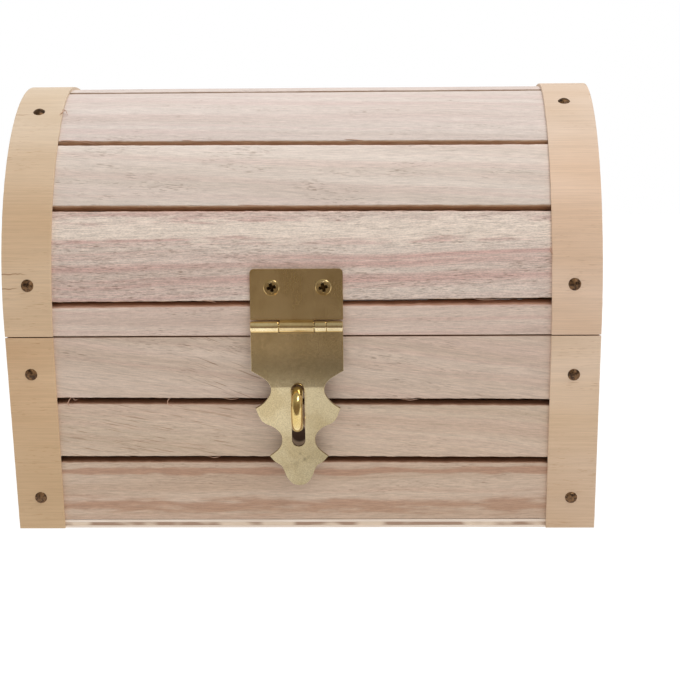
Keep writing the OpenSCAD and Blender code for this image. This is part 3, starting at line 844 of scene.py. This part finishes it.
def wall_spot(x, z, lift, back=False):
    x, y, z = on_wall(x, z, -lift)
    n = (0.0, -cos(WALL_A), -sin(WALL_A))
    return ((x, -y, z), (0.0, -n[1], n[2])) if back else ((x, y, z), n)


def nails(name, spots, body, look):
    parts = []
    for k, (point, normal) in enumerate(spots):
        parts.append(moved(nail(3.7 * k + len(name)), upright_at(point, normal)))
    points, faces = joined(parts)
    obj = solid(name, points, faces, points, 40)
    return piece(obj, body, "bronze_nail", look, name)


# ---- brass sheet and wire ----
HASP_HALF = 15.5
HASP_Z = 72.6
LEAF_A = radians(-4)
LEAF_TOP = 19.3
FLAP_LEAN = radians(4)
BEND_Z = 52.0
BEND_R = 14.0
BARREL_U = (HASP_Z - DOME_Z - (SLAT_R + ROLL_R) * sin(LEAF_A)) / cos(LEAF_A)
BARREL_Y = (SLAT_R + ROLL_R) * cos(LEAF_A) - BARREL_U * sin(LEAF_A)
KNUCKLE = 5.9
GAP = 0.3
RIM_CUT = 0.28
PLAY = 0.05


def ring(x0, x1, centre, seam):
    """A rolled knuckle with its seam at an angle, its rims softened."""
    cy, cz = centre
    ends = [(x0, RIM_CUT), (x0 + 0.1, 0.1), (x0 + RIM_CUT, 0.0)]
    ends += [(x1 - RIM_CUT, 0.0), (x1 - 0.1, 0.1), (x1, RIM_CUT)]
    turns = [4 + 352 * k / 44 for k in range(45)]
    back = [356 - 352 * k / 44 for k in range(45)]
    points = []
    for x, cut in ends:
        for r, degrees in [(ROLL_R - cut, t) for t in turns] + [(PIN_R + PLAY, t) for t in back]:
            a = seam + radians(degrees)
            points.append((x, cy + r * cos(a), cz + r * sin(a)))
    n = len(turns) + len(back)
    return points, skin(len(ends), n) + strip_cap(0, n) + strip_cap((len(ends) - 1) * n, n)


def merge(name, objs):
    """Joins pieces of one material into one object."""
    bm = bmesh.new()
    for o in objs:
        bm.from_mesh(o.data)
    mesh = bpy.data.meshes.new(name)
    bm.to_mesh(mesh)
    bm.free()
    mesh.set_sharp_from_angle(angle=radians(SHEET_SHARP))
    for o in objs:
        old = o.data
        bpy.data.objects.remove(o)
        bpy.data.meshes.remove(old)
    return linked(name, mesh)


def circle(ca, cb, r, n=28):
    turn = [2 * pi * k / n for k in range(n)]
    return [(ca + r * cos(t), cb + r * sin(t)) for t in turn]


def arc(ca, cb, r, start, stop, step=15):
    """Part of a circle between two angles in degrees."""
    turn = [radians(t) for t in range(start, stop + 1, step)]
    return [(ca + r * cos(t), cb + r * sin(t)) for t in turn]


# the hasp's upper leaf lies on a flat that touches the dome; a runs along X, b up the leaf
def leaf_point(a, b, c):
    r = SLAT_R + c
    y = r * cos(LEAF_A) - b * sin(LEAF_A)
    z = DOME_Z + r * sin(LEAF_A) + b * cos(LEAF_A)
    return HASP_X + a, -y, z


SCREW_Z = 85.7
SCREW_B = (SCREW_Z - DOME_Z - (SLAT_R + SHEET_T) * sin(LEAF_A)) / cos(LEAF_A)
SCREW_A = (-8.3, 9.0)
roll_top = BARREL_U + ROLL_R + GAP
leaf_top = BARREL_U + LEAF_TOP
LEAF_CORNER = 1.4
TAB_CLEAR = 0.2
tab = KNUCKLE - TAB_CLEAR
leaf_outline = [(-HASP_HALF, roll_top), (-tab, roll_top), (-tab, BARREL_U)]
leaf_outline += [(tab, BARREL_U), (tab, roll_top), (HASP_HALF, roll_top)]
leaf_outline += arc(HASP_HALF - LEAF_CORNER, leaf_top - LEAF_CORNER, LEAF_CORNER, 0, 90)
leaf_outline += arc(-HASP_HALF + LEAF_CORNER, leaf_top - LEAF_CORNER, LEAF_CORNER, 90, 180)
SCREW_HOLE = 1.5
SHEET_EDGE = 0.1


def turn_grain(x, y, z):
    return x, z, y


def whole(name, part, sharp=28):
    points, faces = part
    return solid(name, points, faces, [turn_grain(*p) for p in points], sharp)


EVEN_BRUSH = (1 / 0.7, 1 / 0.7, 1 / 0.7)
WIRE_BRUSH = (1 / 0.6, 1 / 6, 1 / 0.6)
# painted shade and light: the leaf is painted lighter on the left and darker on the right
leaf_brass = brass("brass_leaf", (220, 196, 150), (204, 178, 130), 1.0, 0.24, dents=0.02, spots=0.08,
                   painted_shades=((0, -14.0, 14.0, 1.06, 0.92),))
# painted shade and light: the flap is painted darker low down, lighter near the barrel and darker on the
# right, with painted shade on small dents
flap_brass = brass(
    "brass_flap", (222, 204, 164), (208, 188, 146), 2.0, 0.15, dents=0.12,
    painted_shades=((1, 20.0, 46.0, 0.72, 0.90), (1, 58.0, 67.0, 0.93, 1.42), (0, -12.0, 12.0, 1.06, 0.84)),
    dent_shade_spots=((1.9, 26.4, 1.1, 0.6), (0.4, 28.4, 0.7, 0.65), (-1.0, 24.6, 1.8, 0.86), (3.2, 27.2, 1.0, 0.8)))
hinge_brass = brass("brass_hinge", (218, 194, 144), (200, 174, 122), 3.0, 0.24, dents=0.05)
screw_brass = brass("brass_screw", (214, 190, 140), (188, 162, 112), 4.0, 0.2, brush=EVEN_BRUSH)
# painted shade: this dark brass fills the screws' cross recesses, standing in for the shade inside them
recess_shade_brass = brass("brass_recess_shade", (112, 84, 44), (70, 50, 26), 6.0, 0.6)
wire_brass = brass("brass_wire", (236, 214, 158), (222, 194, 128), 5.0, 0.12, brush=WIRE_BRUSH,
                   spots=0.1, dents=0.1)

leaf = plate("hasp_leaf_sheet", [leaf_outline] + [circle(a, SCREW_B, SCREW_HOLE) for a in SCREW_A],
             SHEET_T, SHEET_EDGE, (), leaf_point, as_given)
barrel = (-BARREL_Y, HASP_Z)
leaf_roll = whole("hasp_leaf_roll", ring(
    HASP_X - KNUCKLE + PLAY, HASP_X + KNUCKLE - PLAY, barrel, radians(30)))
piece(merge("hasp_leaf", [leaf, leaf_roll]), "lid", "brass", leaf_brass, "hasp_leaf")

# side view of the flap: straight from the barrel, a soft bend, then along the wall
back_y = -BARREL_Y + ROLL_R * cos(FLAP_LEAN)
back_z = HASP_Z + ROLL_R * sin(FLAP_LEAN)
bend_y = back_y + (back_z - BEND_Z) * tan(FLAP_LEAN)
bend_oy = bend_y + BEND_R * cos(FLAP_LEAN)
bend_oz = BEND_Z + BEND_R * sin(FLAP_LEAN)
end_y = bend_oy - BEND_R * cos(WALL_A)
end_z = bend_oz - BEND_R * sin(WALL_A)


def flap_point(a, z, c):
    if z > BEND_Z:
        y = back_y + (back_z - z) * tan(FLAP_LEAN)
        t = FLAP_LEAN
    elif z > end_z:
        t = asin((bend_oz - z) / BEND_R)
        y = bend_oy - BEND_R * cos(t)
    else:
        y = end_y + (end_z - z) * tan(WALL_A)
        t = WALL_A
    return HASP_X + a, y - c * cos(t), z - c * sin(t)


# the flap's right side from the barrel to the tip, as smooth lines between corners, with steps for each
FLAP_TIP = (0.0, 16.9)
FLAP_SIDE = (
    (4, [(15.5, 57.4), (12.9, 55.9), (10.5, 54.2), (9.2, 52.3), (9.0, 50.8), (9.4, 49.3), (11.5, 46.5),
         (14.3, 44.6)]),
    (3, [(14.3, 44.6), (13.4, 42.0), (12.3, 40.0)]),
    (4, [(12.3, 40.0), (10.9, 39.0), (9.0, 38.2), (7.2, 36.9), (5.9, 35.1), (5.6, 33.2), (6.1, 31.2),
         (7.6, 29.4), (10.0, 27.6)]),
    (4, [(10.0, 27.6), (8.2, 25.5), (6.2, 24.2), (5.3, 22.6), (4.1, 19.6), (2.2, 17.5), FLAP_TIP]))
flap_half = [(HASP_HALF, HASP_Z), (HASP_HALF, 57.4)]
for steps, corners in FLAP_SIDE:
    flap_half += curve_through(corners, steps)[1:]
flap_half.pop()
notch = HASP_Z - ROLL_R - GAP
tab = KNUCKLE + TAB_CLEAR
flap_outline = [(tab, notch), (tab, HASP_Z)] + flap_half + [FLAP_TIP]
flap_outline += [(-a, z) for a, z in reversed(flap_half)] + [(-tab, HASP_Z), (-tab, notch)]
SLOT_R = 2.25
SLOT_TOP = 50.7
SLOT_LOW = 33.3
slot = arc(0.0, SLOT_TOP, SLOT_R, 0, 180) + arc(0.0, SLOT_LOW, SLOT_R, 180, 360)
flap_cuts = [end_z + (BEND_Z - end_z) * k / 8 for k in range(9)]
flap = plate("hasp_flap_sheet", [flap_outline, slot], SHEET_T, 0.12, flap_cuts, flap_point, as_given)
SEAM_X = HASP_X + 10.0
FLAP_SEAM = radians(-60)
flap_rolls = [
    whole(f"flap_roll_{k}", ring(x0, x1, (barrel[0], barrel[1] - drop), FLAP_SEAM))
    for k, (x0, x1, drop) in enumerate((
        (HASP_X - HASP_HALF, HASP_X - KNUCKLE - 0.1, PLAY),
        (HASP_X + KNUCKLE + 0.1, SEAM_X - 0.03, 0.0),
        (SEAM_X + 0.03, HASP_X + HASP_HALF, 0.0)))]
piece(merge("hasp_flap", [flap] + flap_rolls), "flap", "brass", flap_brass, "hasp_flap")


def rod(x0, x1, centre, r):
    """A pin along X with softened ends."""
    cy, cz = centre
    ends = [(x0, r - 0.3), (x0 + 0.12, r - 0.1), (x0 + 0.35, r)]
    ends += [(x1 - 0.35, r), (x1 - 0.12, r - 0.1), (x1, r - 0.3)]
    return tube([(x, cy, cz) for x, _ in ends], [q for _, q in ends], 24)


pin = whole("hasp_pin", rod(HASP_X - HASP_HALF + PLAY, HASP_X + HASP_HALF - PLAY, barrel, PIN_R))
piece(pin, "lid", "brass_wire", wire_brass, "hasp_pin")

# screws: a low head with a raised rim and a cross in it
HEAD_R = 2.75
HEAD_TOP = 0.28
HEAD_SINK = 0.05
CROSS_HALF = 1.6
CROSS_W = 0.5
CROSS_DEPTH = 0.9
CROSS_TURN = radians(12)
RING = 0.15


def in_cross(x, y):
    """How far inside the cross a point of the head is, in mm; negative outside."""
    c, s = cos(CROSS_TURN), sin(CROSS_TURN)
    near, far = sorted((abs(c * x + s * y), abs(c * y - s * x)))
    return min(CROSS_W - near, CROSS_HALF - far)


def cross_cut(a, r, h):
    """Lowers the rings of a screw's head inside the cross, with steep walls."""
    inside = in_cross(r * cos(a), r * sin(a))
    if h < 0.25 or inside <= 0:
        return 0.0, 0.0
    return 0.0, -CROSS_DEPTH * min(1.0, 0.4 + 2 * inside)


def screw_head():
    rings = [(RING * k, HEAD_TOP) for k in range(1, 12)]
    profile = [(0, HEAD_TOP - CROSS_DEPTH)] + rings + [
        (1.9, 0.26), (2.2, 0.34), (2.45, 0.34), (2.6, 0.22), (HEAD_R, 0.02), (HEAD_R - 0.25, -0.25),
        (1.2, -1.0), (1.0, -1.4), (1.0, -3.6), (0.25, -4.4), (0, -4.4)]
    return lathe(profile, 72, cross_cut)


def screws(name, matrices, body, look):
    head, head_faces = screw_head()
    sunk = []
    for face in head_faces:
        x, y, z = [sum(head[k][i] for k in face) / len(face) for i in range(3)]
        sunk.append(1 if in_cross(x, y) > 0 and z > -CROSS_DEPTH else 0)
    points, faces = joined([moved((head, head_faces), m) for m in matrices])
    obj = solid(name, points, faces, [turn_grain(*p) for p in points], 30)
    obj.data.materials.append(look)
    # painted shade: the faces inside the cross take the dark recess brass
    obj.data.materials.append(recess_shade_brass)
    obj.data.polygons.foreach_set("material_index", sunk * len(matrices))
    return piece(obj, body, "brass", look, name)


leaf_n = (0.0, -cos(LEAF_A), sin(LEAF_A))
leaf_spots = [upright_at(leaf_point(a, SCREW_B, SHEET_T - HEAD_SINK), leaf_n) for a in SCREW_A]
screws("hasp_screws", leaf_spots, "lid", screw_brass)

# staple: two legs through the slats and a rounded crown in front of the flap
WIRE_R = 1.9
STAPLE_TOP = 52.4 - WIRE_R
STAPLE_LOW = 37.0 + WIRE_R
STAPLE_Y = 72.45 - WIRE_R
STAPLE_BEND = 5.0
LEG_IN = 0.3
crown = -STAPLE_Y + STAPLE_BEND
quarter = [radians(90 * k / 12) for k in range(13)]
bend = [(STAPLE_BEND * (1 - sin(t)), STAPLE_BEND * (1 - cos(t))) for t in quarter]
side = [(on_wall(0.0, STAPLE_TOP, SLAT_T)[1] + LEG_IN, STAPLE_TOP), (-58.0, STAPLE_TOP)]
side += [(crown + 0.5, STAPLE_TOP)] + [(-STAPLE_Y + out, STAPLE_TOP - down) for out, down in bend]
side += [(-STAPLE_Y, (STAPLE_TOP + STAPLE_LOW) / 2)]
side += [(-STAPLE_Y + down, STAPLE_LOW + out) for out, down in bend] + [(crown + 0.5, STAPLE_LOW)]
side += [(on_wall(0.0, STAPLE_LOW, SLAT_T)[1] + LEG_IN, STAPLE_LOW)]
staple = whole("staple", tube([(HASP_X, y, z) for y, z in side], [WIRE_R] * len(side), 32), 40)
piece(staple, "body", "brass_wire", wire_brass, "staple")

# ---- back hinges ----
HINGE_X = 58.0
HINGE_HALF = 13.0
HINGE_H = 12.0
HINGE_Y = 64.5
HINGE_SCREW_X = 7.5
BODY_SCREW_B = HINGE_H * 0.62
LID_SCREW_B = 0.6
KNUCKLE_GAP = 0.15
BODY_SEAM = radians(130)
LID_SEAM = radians(230)
hinge_axis = (HINGE_Y, LID_Z)
third = 2 * HINGE_HALF / 3
leaf_centre_z = LID_Z + HINGE_H * 0.45
LID_LEAF_A = asin((leaf_centre_z - DOME_Z) / SLAT_R)
LEAF_FOOT = HINGE_H * 0.45 - 0.4


def back_wall_point(a, b, c):
    """The body's leaf: b is the distance down from the lid line, along the wall."""
    x, y, z = on_wall(a, LID_Z, -c)
    return x, -(y + b * sin(WALL_A)), z - b * cos(WALL_A)


def back_dome_point(a, b, c):
    """The lid's leaf: b is the distance up the leaf from its middle."""
    r = SLAT_R + c
    across, up = cos(LID_LEAF_A), sin(LID_LEAF_A)
    return a, r * across - b * up, DOME_Z + r * up + b * across


def hinge_outline(x0, x1, tab0, tab1, near, tab_b, far):
    """A leaf from near to far whose near edge lies at tab_b between tab0 and tab1."""
    outline = [(x0, near), (tab0, near), (tab0, tab_b), (tab1, tab_b), (tab1, near), (x1, near)]
    outline += [(x1, far - 1.0), (x1 - 0.3, far - 0.3), (x1 - 1.0, far)]
    return outline + [(x0 + 1.0, far), (x0 + 0.3, far - 0.3), (x0, far - 1.0)]


wall_n = (0.0, cos(WALL_A), -sin(WALL_A))
dome_n = (0.0, cos(LID_LEAF_A), sin(LID_LEAF_A))
body_spots = []
lid_spots = []
pins = []
for side, s in (("left", -1), ("right", 1)):
    x0 = s * HINGE_X - HINGE_HALF
    x1 = s * HINGE_X + HINGE_HALF
    mid0 = x0 + third
    mid1 = x1 - third
    screw_x = [s * HINGE_X + dx for dx in (-HINGE_SCREW_X, HINGE_SCREW_X)]
    outline = hinge_outline(x0, x1, mid0 - TAB_CLEAR, mid1 + TAB_CLEAR, 0.3, ROLL_R + GAP, HINGE_H)
    holes = [circle(x, BODY_SCREW_B, SCREW_HOLE) for x in screw_x]
    sheet = plate("sheet", [outline] + holes, SHEET_T, SHEET_EDGE, (), back_wall_point, as_given)
    rolls = [whole("roll_a", ring(x0, mid0 - KNUCKLE_GAP, hinge_axis, BODY_SEAM)),
             whole("roll_b", ring(mid1 + KNUCKLE_GAP, x1, hinge_axis, BODY_SEAM))]
    name = f"hinge_body_leaf_{side}"
    piece(merge(name, [sheet] + rolls), "body", "brass", hinge_brass, name)
    outline = hinge_outline(x0, x1, mid0 + TAB_CLEAR, mid1 - TAB_CLEAR, 1.9 - LEAF_FOOT, 0.1 - LEAF_FOOT,
                            HINGE_H - LEAF_FOOT)
    holes = [circle(x, LID_SCREW_B, SCREW_HOLE) for x in screw_x]
    sheet = plate("sheet", [outline] + holes, SHEET_T, SHEET_EDGE, (), back_dome_point, as_given)
    roll = whole("roll_c", ring(mid0 + KNUCKLE_GAP, mid1 - KNUCKLE_GAP, hinge_axis, LID_SEAM))
    name = f"hinge_lid_leaf_{side}"
    piece(merge(name, [sheet, roll]), "lid", "brass", hinge_brass, name)
    pins.append(rod(x0 + PLAY, x1 - PLAY, hinge_axis, PIN_R))
    for x in screw_x:
        body_spots.append(upright_at(back_wall_point(x, BODY_SCREW_B, SHEET_T - HEAD_SINK), wall_n))
        lid_spots.append(upright_at(back_dome_point(x, LID_SCREW_B, SHEET_T - HEAD_SINK), dome_n))
piece(whole("hinge_pins", joined(pins)), "body", "brass_wire", wire_brass, "hinge_pins")
screws("hinge_body_screws", body_spots, "body", screw_brass)
screws("hinge_lid_screws", lid_spots, "lid", screw_brass)

# ---- torn fibres that hang from sawn edges ----
def fibres(name, place, body, look, threads):
    """Thin splinters through points (x, u, d) on a surface; each thread is (radius, points)."""
    parts = []
    for r, points in threads:
        path = curve_through([place(*p) for p in points], 6)
        last = len(path) - 1
        swell = [0.25 + 0.75 * sin(pi * (0.12 + 0.8 * k / last)) for k in range(last + 1)]
        parts.append(tube(path, [r * w for w in swell], 7))
    points, faces = joined(parts)
    return piece(solid(name, points, faces, points, 60), body, "slat_wood", look)


splinter_look = wood("splinter", (240, 226, 206), (226, 206, 182), (226, 200, 180), 15.0, pores=0.0)
g1, g2, g3 = arc_u(-6.0), arc_u(22.6), arc_u(45.9)
fibres("lid_fibres", on_dome, "lid", splinter_look, [
    (0.16, [(-83.0, g3 + 0.5, 0.1), (-79.0, g3 + 0.1, -0.25), (-74.5, g3 - 0.6, -0.2),
            (-70.0, g3 - 1.3, 0.4)]),
    (0.13, [(-76.0, g3 + 0.3, 0.0), (-72.0, g3 - 0.3, -0.2), (-68.5, g3 - 1.1, 0.4)]),
    (0.10, [(-41.0, g3 + 0.3, 0.0), (-38.5, g3 - 0.1, -0.2), (-36.0, g3 - 0.4, 0.2)]),
    (0.10, [(14.0, g3 + 0.2, 0.1), (17.0, g3 - 0.2, -0.2), (20.5, g3 - 0.3, 0.2)]),
    (0.12, [(-54.0, g2 + 0.4, 0.1), (-51.5, g2 + 0.1, -0.3), (-51.0, g2 - 0.5, 0.2)]),
    (0.12, [(-21.0, g2 + 0.4, 0.0), (-17.5, g2 + 0.2, -0.3), (-12.0, g2 + 0.1, 0.0)]),
    (0.10, [(-33.0, g1 + 0.6, 0.1), (-30.0, g1 + 0.4, -0.2), (-28.5, g1 - 0.1, 0.3)]),
    (0.10, [(58.0, g1 + 0.7, 0.1), (61.0, g1 + 0.5, -0.3), (65.0, g1 + 0.5, 0.2)]),
    (0.16, [(-84.6, arc_u(57.5), -0.9), (-83.6, arc_u(59.0), -1.3), (-83.2, arc_u(60.5), -0.8)]),
    (0.12, [(-84.3, arc_u(60.5), -0.9), (-83.0, arc_u(60.2), -1.2), (-82.0, arc_u(58.6), -0.3)]),
    (0.16, [(83.4, arc_u(7.5), -0.9), (82.7, arc_u(8.6), -1.3), (82.8, arc_u(10.0), -0.6)])])
fibres("body_fibres", on_wall, "body", splinter_look, [
    (0.16, [(-79.2, 47.6, 0.2), (-79.9, 46.7, -0.5), (-80.3, 45.6, -0.6), (-79.8, 44.7, -0.2)]),
    (0.10, [(-78.6, 47.4, 0.2), (-77.8, 46.9, -0.3), (-77.0, 46.9, 0.2)]),
    (0.16, [(-45.4, 47.4, 0.3), (-46.2, 46.4, -0.5), (-45.9, 45.4, -0.7), (-44.6, 44.6, -0.3)]),
    (0.09, [(-27.0, 47.3, 0.1), (-24.5, 46.9, -0.3), (-22.0, 47.2, 0.1)]),
    (0.09, [(-33.0, 26.4, 0.1), (-31.0, 26.0, -0.3), (-29.0, 26.3, 0.1)]),
    (0.09, [(33.0, 46.9, 0.1), (36.0, 46.5, -0.3), (39.0, 46.7, 0.1)])])

# ---- bands and nails in place ----
LEFT_LID_EDGE = [(BAND_START, 83.8), (-8.0, 83.5), (4.0, 83.3), (35.0, 83.3), (50.0, 83.4), (65.0, 84.0)]
LEFT_LID_EDGE += [(90.0, 84.9)]
RIGHT_LID_EDGE = [(BAND_START, 83.4), (0.0, 83.2), (60.0, 83.2), (90.0, 83.7)]
lid_veneer_left = veneer(
    "veneer_lid_left", (226, 202, 170), (214, 186, 150), 1.0,
    ((10.0, (1.0, 0.96, 0.95)), (75.0, (0.90, 0.95, 1.06))),
    cracks=((2.8, -101.0, -93.5), (-2.0, -101.0, -96.5), (65.5, -101.0, -97.0)))
lid_veneer_right = veneer(
    "veneer_lid_right", (228, 206, 178), (216, 190, 158), 2.0,
    ((30.0, (1.09, 1.04, 1.10)), (64.0, (0.90, 0.90, 0.98))))
# painted shade: the body bands are toned darker towards the bottom
body_veneer_left = veneer(
    "veneer_body_left", (222, 194, 156), (208, 176, 136), 3.0,
    ((8.0, (0.84, 0.81, 0.80)), (62.0, (0.98, 0.93, 0.93))))
body_veneer_right = veneer(
    "veneer_body_right", (226, 202, 172), (214, 186, 150), 4.0,
    ((8.0, (0.84, 0.79, 0.80)), (50.0, (1.04, 1.03, 1.10))))
lid_band("left", LEFT_LID_EDGE, lid_veneer_left, 1.0)
lid_band("right", RIGHT_LID_EDGE, lid_veneer_right, 2.0)
for face, seed in (("front", 3.0), ("back", 5.0)):
    body_band("left", face, [(0.0, 84.1), (RIM_Z, 83.8)], body_veneer_left, seed)
    body_band("right", face, [(0.0, 83.2), (RIM_Z, 83.4)], body_veneer_right, seed + 1)

bronze = bronze_look()
NAIL_SINK = 0.1
BACK_NAIL_X = 91.4
LID_NAILS = [(-92.0, 59.5), (90.2, 64.0), (-91.4, -0.7), (90.7, -1.0)]
LID_NAILS += [(s * BACK_NAIL_X, a) for a in (118.5, 180.8) for s in (-1, 1)]
nails("lid_band_nails", [dome_spot(x, a, DOME_R - NAIL_SINK) for x, a in LID_NAILS], "lid", bronze)
FRONT_NAILS = [(-92.0, 56.2), (91.2, 55.5), (-91.8, 11.7), (91.6, 11.4)]
BACK_NAILS = [(s * BACK_NAIL_X, z) for s in (-1, 1) for z in (55.8, 11.6)]
nails("body_band_nails", [wall_spot(x, z, BAND_T - NAIL_SINK) for x, z in FRONT_NAILS]
      + [wall_spot(x, z, BAND_T - NAIL_SINK, True) for x, z in BACK_NAILS], "body", bronze)

# ---- end boards keep their CAD shape ----
end_look = wood("end_wood", (226, 202, 168), (206, 176, 138), (214, 182, 146), 12.0, warm_part=0.4, pores=0.4,
                object_grain=(0.0, 0.0, radians(90)))
for name in ("body_end_left", "body_end_right", "lid_end_left", "lid_end_right"):
    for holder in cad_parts[name].material_slots:
        holder.material = end_look

# ---- floor, light and camera ----
FLOOR_FRONT = -0.235
FLOOR_FAR = 2.0
FLOOR_Z = -0.0002
FLOOR_GLOW = 0.97
floor_mesh = bpy.data.meshes.new("floor")
floor_corners = [(-FLOOR_FAR, FLOOR_FRONT, 0), (FLOOR_FAR, FLOOR_FRONT, 0)]
floor_corners += [(FLOOR_FAR, FLOOR_FAR, 0), (-FLOOR_FAR, FLOOR_FAR, 0)]
floor_mesh.from_pydata(floor_corners, [], [(0, 1, 2, 3)])
floor = linked("floor", floor_mesh)
floor.location.z = FLOOR_Z
floor_look = Look("floor_white")
floor_look.into("Base Color", (0.06, 0.06, 0.06, 1.0))
floor_look.into("Roughness", 0.9)
floor_look.into("Emission Color", WHITE)
floor_look.into("Emission Strength", FLOOR_GLOW)
floor_mesh.materials.append(floor_look.material)

world = bpy.data.worlds.new("studio")
bpy.context.scene.world = world
world.use_nodes = True
studio = Nodes(world.node_tree)
studio.tree.nodes.clear()
BEHIND = (0.75, 0.76, 0.78, 1.0)
IN_FRONT = (0.235, 0.185, 0.135, 1.0)
SKY = (0.95, 0.95, 0.97, 1.0)
ROOM_TOP = (0.42, 0.40, 0.33, 1.0)
direction = studio.node("ShaderNodeTexCoord").outputs["Generated"]
wy, wz = studio.split(direction)[1:]
horizon = studio.mix(studio.ramp(wy, 0.3, -0.7), BEHIND, IN_FRONT)
sky = studio.mix(studio.ramp(wz, 0.05, 0.92), horizon, SKY)
# metal mirrors the dim room in front of and above the chest, and the bright wall behind it
room = studio.mix(studio.ramp(wz, 0.1, 0.8), horizon, ROOM_TOP)
rays = studio.node("ShaderNodeLightPath").outputs
mirrored = studio.mix(rays["Is Glossy Ray"], sky, room)
shown = studio.mix(rays["Is Camera Ray"], mirrored, WHITE)
light = studio.node("ShaderNodeBackground", {"Color": shown, "Strength": 1.0})
studio.node("ShaderNodeOutputWorld", {"Surface": light.outputs[0]})


def soft_box(name, where, aim, size, power):
    data = bpy.data.lights.new(name, "AREA")
    data.shape = "RECTANGLE"
    data.size, data.size_y = size
    data.energy = power
    obj = linked(name, data)
    obj.location = where
    obj.rotation_euler = (Vector(aim) - Vector(where)).to_track_quat("-Z", "Y").to_euler()
    return obj


KEY_POWER = 3.2
OVER_POWER = 3.0
soft_box("key", (0.45, -0.55, 0.85), (0.0, 0.0, 0.08), (0.5, 0.4), KEY_POWER)
over = soft_box("over", (-0.1, 0.1, 1.1), (0.0, 0.0, 0.1), (0.9, 0.9), OVER_POWER)
over.visible_glossy = False

EYE = Vector((0.02918, -0.66824, 0.14096))
YAW, PITCH, ROLL = (radians(a) for a in (1.554, -6.899, 0.4246))
SENSOR = 36.0
LENS = 96.435
camera_data = bpy.data.cameras.new("camera")
camera_data.sensor_width = SENSOR
camera_data.lens = LENS
camera_data.clip_start = 0.01
camera_data.clip_end = 20.0
camera = linked("camera", camera_data)
look_along = Matrix.Rotation(YAW, 3, "Z") @ Matrix.Rotation(PITCH, 3, "X") @ Matrix.Rotation(ROLL, 3, "Y")
level_view = Matrix.Rotation(radians(90), 3, "X")
camera.matrix_world = Matrix.Translation(EYE) @ (look_along @ level_view).to_4x4()
bpy.context.scene.camera = camera
bpy.context.scene.view_settings.view_transform = "Standard"
bpy.context.scene.cycles.diffuse_bounces = 8
